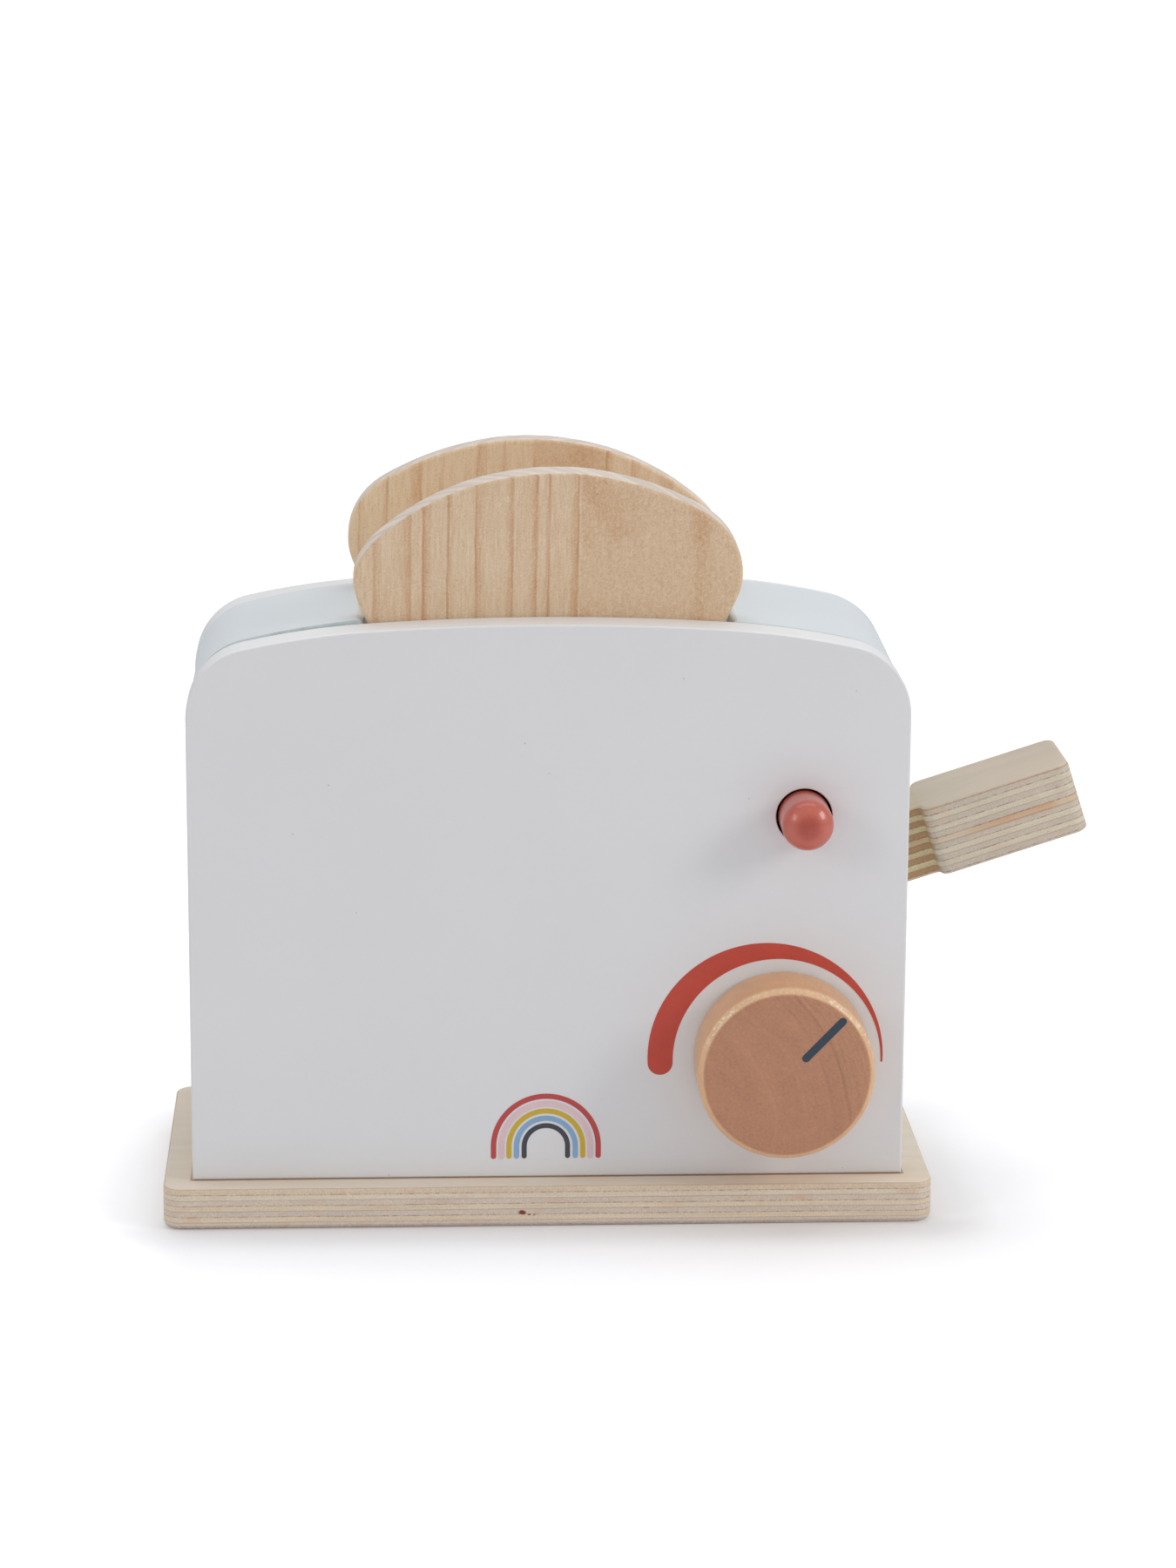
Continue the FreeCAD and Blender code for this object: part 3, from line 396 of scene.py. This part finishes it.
def knob_wood(name):
    g = Graph(name, rough=0.36, spec=0.5, coat=0.22, coat_rough=0.24)
    x, y, z = g.obj()
    dx, dz = g.m("SUBTRACT", x, KNOB_X), g.m("SUBTRACT", z, KNOB_Z)
    # growth rings struck from a point far down on the left
    rx, rz = g.m("ADD", dx, 35.9), g.m("ADD", dz, 15.6)
    wave = g.noise(g.vec(g.m("MULTIPLY", dx, 1 / 14), g.m("MULTIPLY", dz, 1 / 14), 2.2), 1.0, 2.0)
    r = g.m("ADD", g.m("SQRT", g.m("ADD", g.m("MULTIPLY", rx, rx), g.m("MULTIPLY", rz, rz))), g.lerp(wave, 0.3, 0.7, -0.7, 0.7))
    arc = g.m("MULTIPLY", g.m("ARCTAN2", rz, rx), 48.0)
    fib = g.noise(g.vec(g.m("MULTIPLY", arc, 1 / 7), g.m("MULTIPLY", r, 1 / 0.45), g.m("MULTIPLY", y, 1 / 2.5)), 1.0, 4.0, 0.62)
    broad = g.noise(g.vec(g.m("MULTIPLY", arc, 1 / 40), g.m("MULTIPLY", r, 1 / 6.5), g.m("MULTIPLY", y, 1 / 12)), 1.0, 3.0, 0.5, 0.4)
    pores = g.noise(g.vec(g.m("MULTIPLY", dx, 1 / 0.85), g.m("MULTIPLY", dz, 1 / 0.85), g.m("MULTIPLY", y, 1 / 0.9)), 1.0, 4.0, 0.75)
    cloud = g.noise(g.vec(g.m("MULTIPLY", dx, 1 / 5), g.m("MULTIPLY", dz, 1 / 5), g.m("MULTIPLY", y, 1 / 5)), 1.0, 3.0, 0.6)
    nx, ny, nz = g.normal()
    flat = g.m("ABSOLUTE", ny)
    face = g.smooth(flat, 0.84, 0.985)
    turned = g.smooth(flat, 0.10, 0.45)
    side_col = g.mix(turned, lin(226, 178, 133), lin(231, 184, 140))
    col = g.mix(face, side_col, lin(190, 134, 102))
    hatch = g.smooth(r, 52.6, 54.2)
    amp = g.m("MULTIPLY_ADD", hatch, 1.3, 0.8)
    val = g.m("ADD", g.m("ADD", 1.0, g.m("MULTIPLY", g.lerp(fib, 0.3, 0.7, -0.055, 0.05), amp)),
              g.m("ADD", g.lerp(broad, 0.3, 0.7, -0.045, 0.045), g.m("ADD", g.m("MULTIPLY", g.lerp(pores, 0.3, 0.7, -0.13, 0.115), g.m("MULTIPLY_ADD", face, 0.65, 0.35)), g.lerp(cloud, 0.3, 0.7, -0.035, 0.035))))
    # saw marks left on the outer growth rings
    saw = g.m("SINE", g.m("ADD", g.m("ADD", g.m("MULTIPLY", dx, 3.6), g.m("MULTIPLY", dz, 9.2)), g.m("MULTIPLY", cloud, 5.0)))
    val = g.m("ADD", val, g.m("MULTIPLY", g.m("MULTIPLY", saw, face), g.m("MULTIPLY", hatch, 0.05)))
    col = g.mix(g.m("MULTIPLY", g.m("MULTIPLY", hatch, face), 0.08), col, lin(206, 162, 122))
    col = g.tone(col, val)
    brk = g.noise(g.vec(g.m("MULTIPLY", arc, 1 / 5), 4.4, 0.0), 1.0, 2.0)
    for at_r, k, tint in ((53.4, 0.34, lin(128, 86, 64)), (49.4, 0.20, lin(140, 94, 70)), (33.3, 0.16, lin(216, 166, 134)), (41.5, 0.10, lin(216, 166, 134))):
        ln = g.m("MULTIPLY", g.smooth(g.m("ABSOLUTE", g.m("SUBTRACT", r, at_r)), 0.60, 0.05), g.lerp(brk, 0.35, 0.6, 0.3, 1.0))
        col = g.mix(g.m("MULTIPLY", g.m("MULTIPLY", ln, face), k), col, tint)
    # short dark nicks near the turned edge
    vor = g.n("ShaderNodeTexVoronoi", {"Vector": g.vec(g.m("MULTIPLY", arc, 1 / 7), g.m("MULTIPLY", r, 1 / 1.8), g.m("MULTIPLY", y, 1 / 4)),
                                       "Scale": 1.0, "Randomness": 1.0})
    vp = g.n("ShaderNodeSeparateColor", {0: vor.outputs["Color"]})
    streak = g.m("MULTIPLY", g.smooth(vor.outputs["Distance"], 0.13, 0.05), g.m("GREATER_THAN", vp.outputs[0], 0.84))
    col = g.mix(g.m("MULTIPLY", streak, 0.40), col, lin(140, 88, 62))
    # painted light: the upper part of the turned edge is painted lighter, with broken near-white painted highlights
    # towards its upper left and right
    glint = g.noise(g.vec(g.m("MULTIPLY", dx, 1 / 1.1), g.m("MULTIPLY", dz, 1 / 1.1), g.m("MULTIPLY", y, 1 / 1.1)), 1.0, 3.0, 0.7)
    ring = g.m("MULTIPLY", g.smooth(flat, 0.25, 0.55), g.m("SUBTRACT", 1.0, face))
    upper = g.m("MULTIPLY", g.smooth(nz, 0.10, 0.45), g.m("MULTIPLY_ADD", g.smooth(g.m("ABSOLUTE", nx), 0.15, 0.45), 0.75, 0.25))
    col = g.mix(g.m("MULTIPLY", g.m("MULTIPLY", ring, g.smooth(nz, -0.2, 0.5)), 0.30), col, lin(240, 208, 168))
    col = g.mix(g.m("MULTIPLY", g.m("MULTIPLY", g.smooth(glint, 0.52, 0.60), ring), g.m("MULTIPLY", upper, 0.85)), col, lin(253, 240, 214))
    g.colour(col)
    g.rough(g.lerp(fib, 0.3, 0.7, 0.32, 0.44))
    g.bump(g.m("ADD", g.m("MULTIPLY", fib, 0.5), g.m("MULTIPLY", pores, 0.5)), 0.22, 0.05)
    return g.mat


def gloss(name, colour, edge, centre, at):
    """Thick gloss paint, with painted light: lighter in a ring where the dome turns, darker at its centre."""
    g = Graph(name, rough=0.3, spec=0.45, coat=0.5, coat_rough=0.10)
    p = g.obj()
    big = g.noise(g.scaled(p, 1 / 5, 1 / 9, 1 / 5, 4.0), 1.0, 3.0)
    fine = g.noise(g.scaled(p, 1 / 0.7, 1 / 2.5, 1 / 0.7, 2.0), 1.0, 3.0)
    ex, ez = g.m("SUBTRACT", p[0], at[0]), g.m("SUBTRACT", p[2], at[1])
    e = g.m("SQRT", g.m("ADD", g.m("MULTIPLY", ex, ex), g.m("MULTIPLY", ez, ez)))
    ringed = g.m("MULTIPLY", g.smooth(e, 2.0, 5.0), g.smooth(e, 7.1, 5.4, 0.35, 1.0))
    col = g.mix(g.smooth(e, 4.2, 1.0), g.mix(ringed, colour, edge), centre)
    g.colour(g.tone(col, g.m("ADD", g.lerp(big, 0.3, 0.7, 0.96, 1.04), g.lerp(fine, 0.3, 0.7, -0.025, 0.025))))
    g.rough(g.lerp(fine, 0.3, 0.7, 0.28, 0.40))
    g.bump(big, 0.06, 0.05)
    return g.mat


def plain_wood(name, colour, seed, axis=2):
    g = Graph(name, rough=0.55, spec=0.4)
    p = g.obj()
    s = [1 / 0.8, 1 / 0.8, 1 / 0.8]
    s[axis] = 1 / 25
    b = [1 / 9, 1 / 9, 1 / 9]
    b[axis] = 1 / 60
    fib = g.noise(g.scaled(p, *s, seed), 1.0, 4.0, 0.6)
    broad = g.noise(g.scaled(p, *b, seed), 1.0, 2.0)
    g.colour(g.tone(colour, g.m("ADD", g.lerp(fib, 0.3, 0.7, 0.92, 1.06), g.lerp(broad, 0.3, 0.7, -0.05, 0.05))))
    g.rough(g.lerp(fib, 0.3, 0.7, 0.5, 0.62))
    g.bump(fib, 0.3, 0.08)
    return g.mat


def steel(name):
    g = Graph(name, rough=0.35, spec=0.5, metallic=1.0)
    p = g.obj()
    n = g.noise(g.scaled(p, 2.0, 2.0, 2.0), 1.0, 3.0)
    g.colour(g.tone(lin(196, 197, 200), g.lerp(n, 0.3, 0.7, 0.9, 1.05)))
    g.rough(g.lerp(n, 0.3, 0.7, 0.28, 0.45))
    g.bump(n, 0.15, 0.03)
    return g.mat


def ink(name, colour, seed):
    g = Graph(name, rough=0.5, spec=0.35)
    p = g.obj()
    fine = g.noise(g.scaled(p, 1 / 0.5, 1 / 0.5, 1 / 0.5, seed), 1.0, 4.0, 0.65)
    big = g.noise(g.scaled(p, 1 / 6, 1 / 6, 1 / 6, seed), 1.0, 2.0)
    g.colour(g.tone(colour, g.m("ADD", g.lerp(fine, 0.3, 0.7, 0.955, 1.045), g.lerp(big, 0.3, 0.7, -0.03, 0.03))))
    g.rough(g.lerp(fine, 0.3, 0.7, 0.44, 0.56))
    g.bump(fine, 0.12, 0.03)
    return g.mat


# painted light on the white boards: upward-facing tops painted lighter
# painted shade on the white boards: near black inside the peg hole, partly raw board
WHITE = paint("paint_white", lin(233, 233, 235), 0.42, 1.7, specks=0.6, mottle=0.010, painted_top_light=lin(243, 244, 246), bore=(70.0, 115.2, 7.95))
# painted shadow on the blue: a dark line along the joint against the front board
BLUE = paint("paint_pale_blue", lin(226, 233, 238), 0.40, 5.1, specks=0.3, mottle=0.012, seam_shadow=lin(168, 182, 182))
BASE_TONES = [lin(206, 172, 146), lin(225, 210, 196), lin(232, 213, 187), lin(221, 205, 190), lin(231, 213, 187), lin(222, 205, 188),
              lin(231, 215, 194), lin(227, 206, 180), lin(227, 212, 190)]
# painted shade on the base: a thin brown contact line where the boards stand
# painted shade on the base: brown along the lowest edge
BASE_PLY = plywood("plywood_base", base_coords, 9, 1.597, -0.987, 2.0, lin(231, 218, 200), BASE_TONES, lin(160, 134, 116),
                   knots=[((-7.6, -47.6, 4.3), (1.2, 1.5, 0.75), lin(140, 62, 42)), ((-5.6, -47.6, 3.7), (0.55, 1.2, 0.4), lin(165, 96, 72)),
                          ((-4.2, -47.6, 3.55), (0.4, 1.2, 0.3), lin(170, 105, 80)), ((27.0, -47.6, 5.4), (1.2, 1.2, 0.25), lin(186, 146, 122))],
                   junction=(99.0, 40.0), brighter=(30.0, 107.0, 1.15), foot_shade=lin(172, 126, 98))
L_CREAM, L_GREY = lin(222, 210, 187), lin(211, 197, 180)
LEVER_TONES = [lin(222, 204, 180)] + [L_GREY if k % 2 else L_CREAM for k in range(1, 12)] + [lin(222, 206, 182)]
# painted shade on the lever: a darker, warmer neck where it sits in the slot
LEVER_PLY = plywood("plywood_lever", lever_coords, 13, 1.718, -11.168, 7.0, lin(210, 196, 177), LEVER_TONES, lin(142, 116, 98),
                    warm_ply=6, warm=lin(214, 166, 126), warm_span=(44.0, 62.0), neck=38.4, front_line=True)
# rings: from, to (mm across the slice), sharp side, depth of the band, depth of its sharp line
FRONT_RINGS = [(-53.2, -51.6, -1, .40, .30), (-47.4, -45.2, -1, .55, .75), (-40.6, -37.8, 1, .62, .35), (-34.5, -31.9, -1, .75, .60),
               (-27.8, -26.0, -1, .60, .90), (-20.0, -17.0, -1, .72, .60), (-11.8, -9.4, 1, .80, .55), (-5.0, -3.2, 1, .85, .75),
               (-1.3, 0.2, 1, .65, .85), (5.4, 7.9, 1, .85, .70)]
REAR_RINGS = [(-50.0, -48.0, -1, .40, .30), (-44.0, -42.0, 1, .45, .35), (-36.8, -33.0, 1, .70, .45), (-27.5, -26.2, -1, .35, .30),
              (-17.2, -13.4, -1, .70, .50), (-9.8, -9.0, 1, .30, .45), (-1.0, 3.0, -1, .50, .70), (19.4, 21.6, -1, .90, .75),
              (26.5, 31.0, -1, .45, .20), (33.0, 38.5, 1, .50, .30)]
PINE_FRONT = pine("pine_front", 0.0, FRONT_RINGS, (8.2, 80.0), 1.3, lin(228, 202, 171), lin(206, 156, 112), lin(176, 112, 70),
                  lin(225, 212, 200), -28.0, 0.8)
PINE_REAR = pine("pine_rear", -1.6, REAR_RINGS, (0.0, 19.6), 6.1, lin(238, 212, 178), lin(213, 162, 116), lin(172, 108, 72),
                 lin(226, 214, 203), 18.0, -0.7)
KNOB = knob_wood("knob_wood")
CORAL = gloss("coral_gloss", lin(193, 88, 72), lin(204, 105, 87), lin(177, 76, 60), (70.0, 115.2))
BEECH = plain_wood("beech", lin(214, 180, 142), 3.0)
BEECH_Y = plain_wood("beech_across", lin(214, 180, 142), 8.0, axis=1)
PLATE = plywood("plywood_plate", base_coords, 5, 6.0 / 5, 102.7, 11.0, lin(222, 206, 180),
                [lin(222, 206, 180), lin(208, 190, 172), lin(224, 204, 176), lin(208, 190, 172), lin(222, 206, 180)], lin(150, 122, 102))
STEEL = steel("zinc_steel")

LOOK = {
    "base_plate": BASE_PLY, "front_panel": WHITE, "rear_panel": WHITE,
    "right_shoulder_block": BLUE, "left_shoulder_block": BLUE, "right_side_wall": BLUE, "left_side_wall": BLUE,
    "slot_divider": BLUE, "assembly_dowels": BEECH_Y, "base_screws": STEEL, "lift_guide_rods": BEECH,
    "pivot_dowel": BEECH_Y, "pivot_spacers": BEECH_Y, "peg_guide_block": BEECH, "lever": LEVER_PLY,
    "lift_post": BEECH, "lift_platform": PLATE, "toast_front": PINE_FRONT, "toast_rear": PINE_REAR,
    "knob": KNOB, "knob_shaft": BEECH_Y, "knob_retainer": BEECH_Y, "push_peg": CORAL, "peg_collar": BEECH,
    "peg_spring": STEEL,
}
for name, material in LOOK.items():
    o = nodes[name]
    if not o.material_slots:
        o.data.materials.append(material)
    for s in o.material_slots:
        s.material = material


# ---------------------------------------------------------------- flat prints
def print_piece(name, outline, y_back, thick, material, body):
    """A thin closed print with the given outline (X, Z in mm), standing off the surface by its thickness."""
    bm = bmesh.new()
    top = [bm.verts.new((x * MM, (y_back - thick) * MM, z * MM)) for x, z in outline]
    low = [bm.verts.new((x * MM, y_back * MM, z * MM)) for x, z in outline]
    bm.faces.new(top)
    bm.faces.new(low[::-1])
    n = len(outline)
    for i in range(n):
        j = (i + 1) % n
        bm.faces.new((top[j], top[i], low[i], low[j]))
    bmesh.ops.recalc_face_normals(bm, faces=bm.faces[:])
    bmesh.ops.triangulate(bm, faces=[f for f in bm.faces if len(f.verts) > 4], ngon_method="EAR_CLIP")
    me = bpy.data.meshes.new(name)
    bm.to_mesh(me)
    bm.free()
    o = bpy.data.objects.new(name, me)
    scene.collection.objects.link(o)
    me.materials.append(material)
    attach(o, body)
    return o


def arc_pts(cx, cz, r, a0, a1, n):
    return [(cx + r * math.cos(math.radians(a0 + (a1 - a0) * i / n)), cz + r * math.sin(math.radians(a0 + (a1 - a0) * i / n)))
            for i in range(n + 1)]


def arch_outline(cx, cz, radius, width, leg, cap=10):
    """A round arch band on straight legs with round feet."""
    h = width / 2
    out = [(cx - radius - h, cz - leg)]
    out += arc_pts(cx, cz, radius + h, 180, 0, 64)
    out += [(cx + radius + h, cz - leg)]
    out += arc_pts(cx + radius, cz - leg, h, 0, -180, cap)[1:-1]
    out += [(cx + radius - h, cz - leg)]
    out += arc_pts(cx, cz, radius - h, 0, 180, 56)
    out += [(cx - radius + h, cz - leg)]
    out += arc_pts(cx - radius, cz - leg, h, 0, -180, cap)[1:-1]
    return out


PRINT_T = 0.07
FRONT_Y = -40.0
RED = ink("ink_red", lin(201, 80, 66), 1.0)
# sweep round the knob: wide round end on the left, thinning to a point on the right
o_c, o_r, i_c, i_r = (60.25, 46.4), 32.8, (63.45, 45.6), 29.0
end_z = 44.9
a_out0 = 180 + math.degrees(math.asin((o_c[1] - end_z) / o_r))
a_out1 = -math.degrees(math.asin((o_c[1] - end_z) / o_r))
a_in0 = 180 + math.degrees(math.asin((i_c[1] - end_z) / i_r))
a_in1 = -math.degrees(math.asin((i_c[1] - end_z) / i_r))
outer = arc_pts(o_c[0], o_c[1], o_r, a_out0, a_out1, 96)
inner = arc_pts(i_c[0], i_c[1], i_r, a_in1, a_in0, 96)
lx0, lx1 = inner[-1][0], outer[0][0]
cap = arc_pts((lx0 + lx1) / 2, end_z, (lx0 - lx1) / 2, 0, -180, 20)[1:-1]
tip = arc_pts((inner[0][0] + outer[-1][0]) / 2, end_z, (outer[-1][0] - inner[0][0]) / 2, 0, -180, 6)[1:-1]
print_piece("print_sweep", outer + tip + inner + cap, FRONT_Y, PRINT_T, RED, "housing")

# plain five-band rainbow, struck from one centre
bands = [("print_band_red", 14.6, 1.5, lin(196, 80, 80)), ("print_band_pink", 12.4, 1.75, lin(232, 204, 209)),
         ("print_band_mustard", 10.3, 1.45, lin(214, 180, 64)), ("print_band_blue", 8.2, 1.5, lin(144, 180, 217)),
         ("print_band_grey", 6.05, 1.4, lin(74, 76, 86))]
for i, (nm, r, w, c) in enumerate(bands):
    print_piece(nm, arch_outline(-0.7, 20.9, r, w, 2.8), FRONT_Y, PRINT_T, ink("ink_" + nm[11:], c, 2.0 + i), "housing")

# pointer on the knob face
px0, pz0, px1, pz1 = KNOB_X + 5.1, KNOB_Z + 4.8, KNOB_X + 15.0, KNOB_Z + 15.2
ang = math.degrees(math.atan2(pz1 - pz0, px1 - px0))
pr = 1.1
pointer = arc_pts(px1, pz1, pr, ang + 90, ang - 90, 14) + arc_pts(px0, pz0, pr, ang - 90, ang - 270, 14)
knob_face_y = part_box("knob")[0].y * 1000 if hasattr(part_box("knob")[0], "y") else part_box("knob")[0][1] * 1000
print_piece("print_pointer", pointer, knob_face_y, PRINT_T, ink("ink_slate", lin(57, 72, 85), 9.0), "knob")


# ---------------------------------------------------------------- floor, light, camera
bm = bmesh.new()
size = 16.0
vs = [bm.verts.new(p) for p in ((-size, -size, 0), (size, -size, 0), (size, size, 0), (-size, size, 0))]
bm.faces.new(vs)
me = bpy.data.meshes.new("floor")
bm.to_mesh(me)
bm.free()
floor = bpy.data.objects.new("floor", me)
scene.collection.objects.link(floor)
fm = bpy.data.materials.new("floor_white")
fm.use_nodes = True
fb = fm.node_tree.nodes["Principled BSDF"]
fb.inputs["Base Color"].default_value = (0.84, 0.845, 0.875, 1)
fb.inputs["Roughness"].default_value = 0.9
fb.inputs["Specular IOR Level"].default_value = 0.1
fb.inputs["Emission Color"].default_value = (1, 1, 1, 1)
ft = Graph.__new__(Graph)
ft.t = fm.node_tree
fx, fy, fz = ft.obj()
# painted shadow on the floor: the camera-only glow is lower near the base, so the floor reads darker round it, deepest
# just in front and fainter beside its left end
qx = ft.m("MAXIMUM", ft.m("SUBTRACT", ft.m("ABSOLUTE", fx), 103.0), 0.0)
qy = ft.m("MAXIMUM", ft.m("SUBTRACT", ft.m("ABSOLUTE", fy), 44.0), 0.0)
away = ft.m("SQRT", ft.m("ADD", ft.m("MULTIPLY", qx, qx), ft.m("MULTIPLY", qy, qy)))
near_lift = ft.ramp(ft.m("DIVIDE", ft.m("SUBTRACT", away, 4.0), 100.0),
                    [(0.0, grey(0.13)), (0.10, grey(0.17)), (0.20, grey(0.25)), (0.36, grey(0.31)), (0.8, grey(0.40)), (1.0, grey(0.42))])
near_lift = ft.n("ShaderNodeSeparateColor", {0: near_lift}).outputs[0]
beside = ft.m("MULTIPLY", ft.smooth(ft.m("MULTIPLY", fx, -1.0), 98.0, 118.0), ft.smooth(away, 260.0, 120.0))
before = ft.m("MULTIPLY", ft.smooth(ft.m("MULTIPLY", fy, -1.0), 40.0, 50.0), ft.smooth(away, 26.0, 4.0))
near_lift = ft.m("SUBTRACT", ft.m("MULTIPLY_ADD", beside, 0.14, near_lift), ft.m("MULTIPLY", before, 0.07))
span_out = ft.m("SQRT", ft.m("ADD", ft.m("MULTIPLY", fx, fx), ft.m("MULTIPLY", fy, fy)))
far = ft.smooth(span_out, 300.0, 1300.0)
lift = ft.m("ADD", near_lift, ft.m("MULTIPLY", far, FLOOR_LIFT_FAR - 0.42))
seen = ft.n("ShaderNodeLightPath").outputs["Is Camera Ray"]
ft.put(fb.inputs["Emission Strength"], ft.m("MULTIPLY", lift, seen))
me.materials.append(fm)

# plain white surroundings: a soft fill for the object, pure white behind it
world = bpy.data.worlds.new("studio")
scene.world = world
world.use_nodes = True
wt = world.node_tree
wb = wt.nodes["Background"]
wb.inputs["Color"].default_value = (1.0, 1.0, 1.0, 1)
wl = wt.nodes.new("ShaderNodeLightPath")
wm = wt.nodes.new("ShaderNodeMapRange")
wm.inputs["To Min"].default_value = FILL
wm.inputs["To Max"].default_value = 1.05
wt.links.new(wl.outputs["Is Camera Ray"], wm.inputs["Value"])
wt.links.new(wm.outputs["Result"], wb.inputs["Strength"])


def area(name, loc, target, size_x, size_y, watts, colour=(1, 1, 1)):
    light = bpy.data.lights.new(name, "AREA")
    light.shape = "RECTANGLE"
    light.size, light.size_y = size_x, size_y
    light.energy = watts
    light.color = colour
    o = bpy.data.objects.new(name, light)
    scene.collection.objects.link(o)
    o.location = loc
    o.rotation_mode = "QUATERNION"
    o.rotation_quaternion = (Vector(target) - Vector(loc)).to_track_quat("-Z", "Y")
    return o


area("key", (1.07, -0.55, 0.67), (0.02, 0, 0.1), 0.32, 0.48, 4.0, (1.0, 0.995, 0.985))
area("left", (-0.92, -0.75, 0.63), (0, 0, 0.1), 0.30, 0.45, 1.7)
area("top", (0.0, 0.35, 1.40), (0, 0, 0.1), 1.6, 1.1, 7.0)

cam_data = bpy.data.cameras.new("camera")
cam = bpy.data.objects.new("camera", cam_data)
scene.collection.objects.link(cam)
scene.camera = cam
cam_data.sensor_fit = "AUTO"
cam_data.sensor_width = 36.0
cam_data.lens = 99.738
cam_data.clip_start, cam_data.clip_end = 0.02, 60.0
yaw, pitch, roll = 0.0497, 0.2346, 0.0056
fwd = Vector((math.sin(yaw) * math.cos(pitch), math.cos(yaw) * math.cos(pitch), -math.sin(pitch)))
right0 = Vector((math.cos(yaw), -math.sin(yaw), 0))
up0 = right0.cross(fwd)
right = right0 * math.cos(roll) + up0 * math.sin(roll)
up = up0 * math.cos(roll) - right0 * math.sin(roll)
m = Matrix((right, up, -fwd)).transposed().to_4x4()
m.translation = Vector((-0.046885, -1.193563, 0.400713))
cam.matrix_world = m
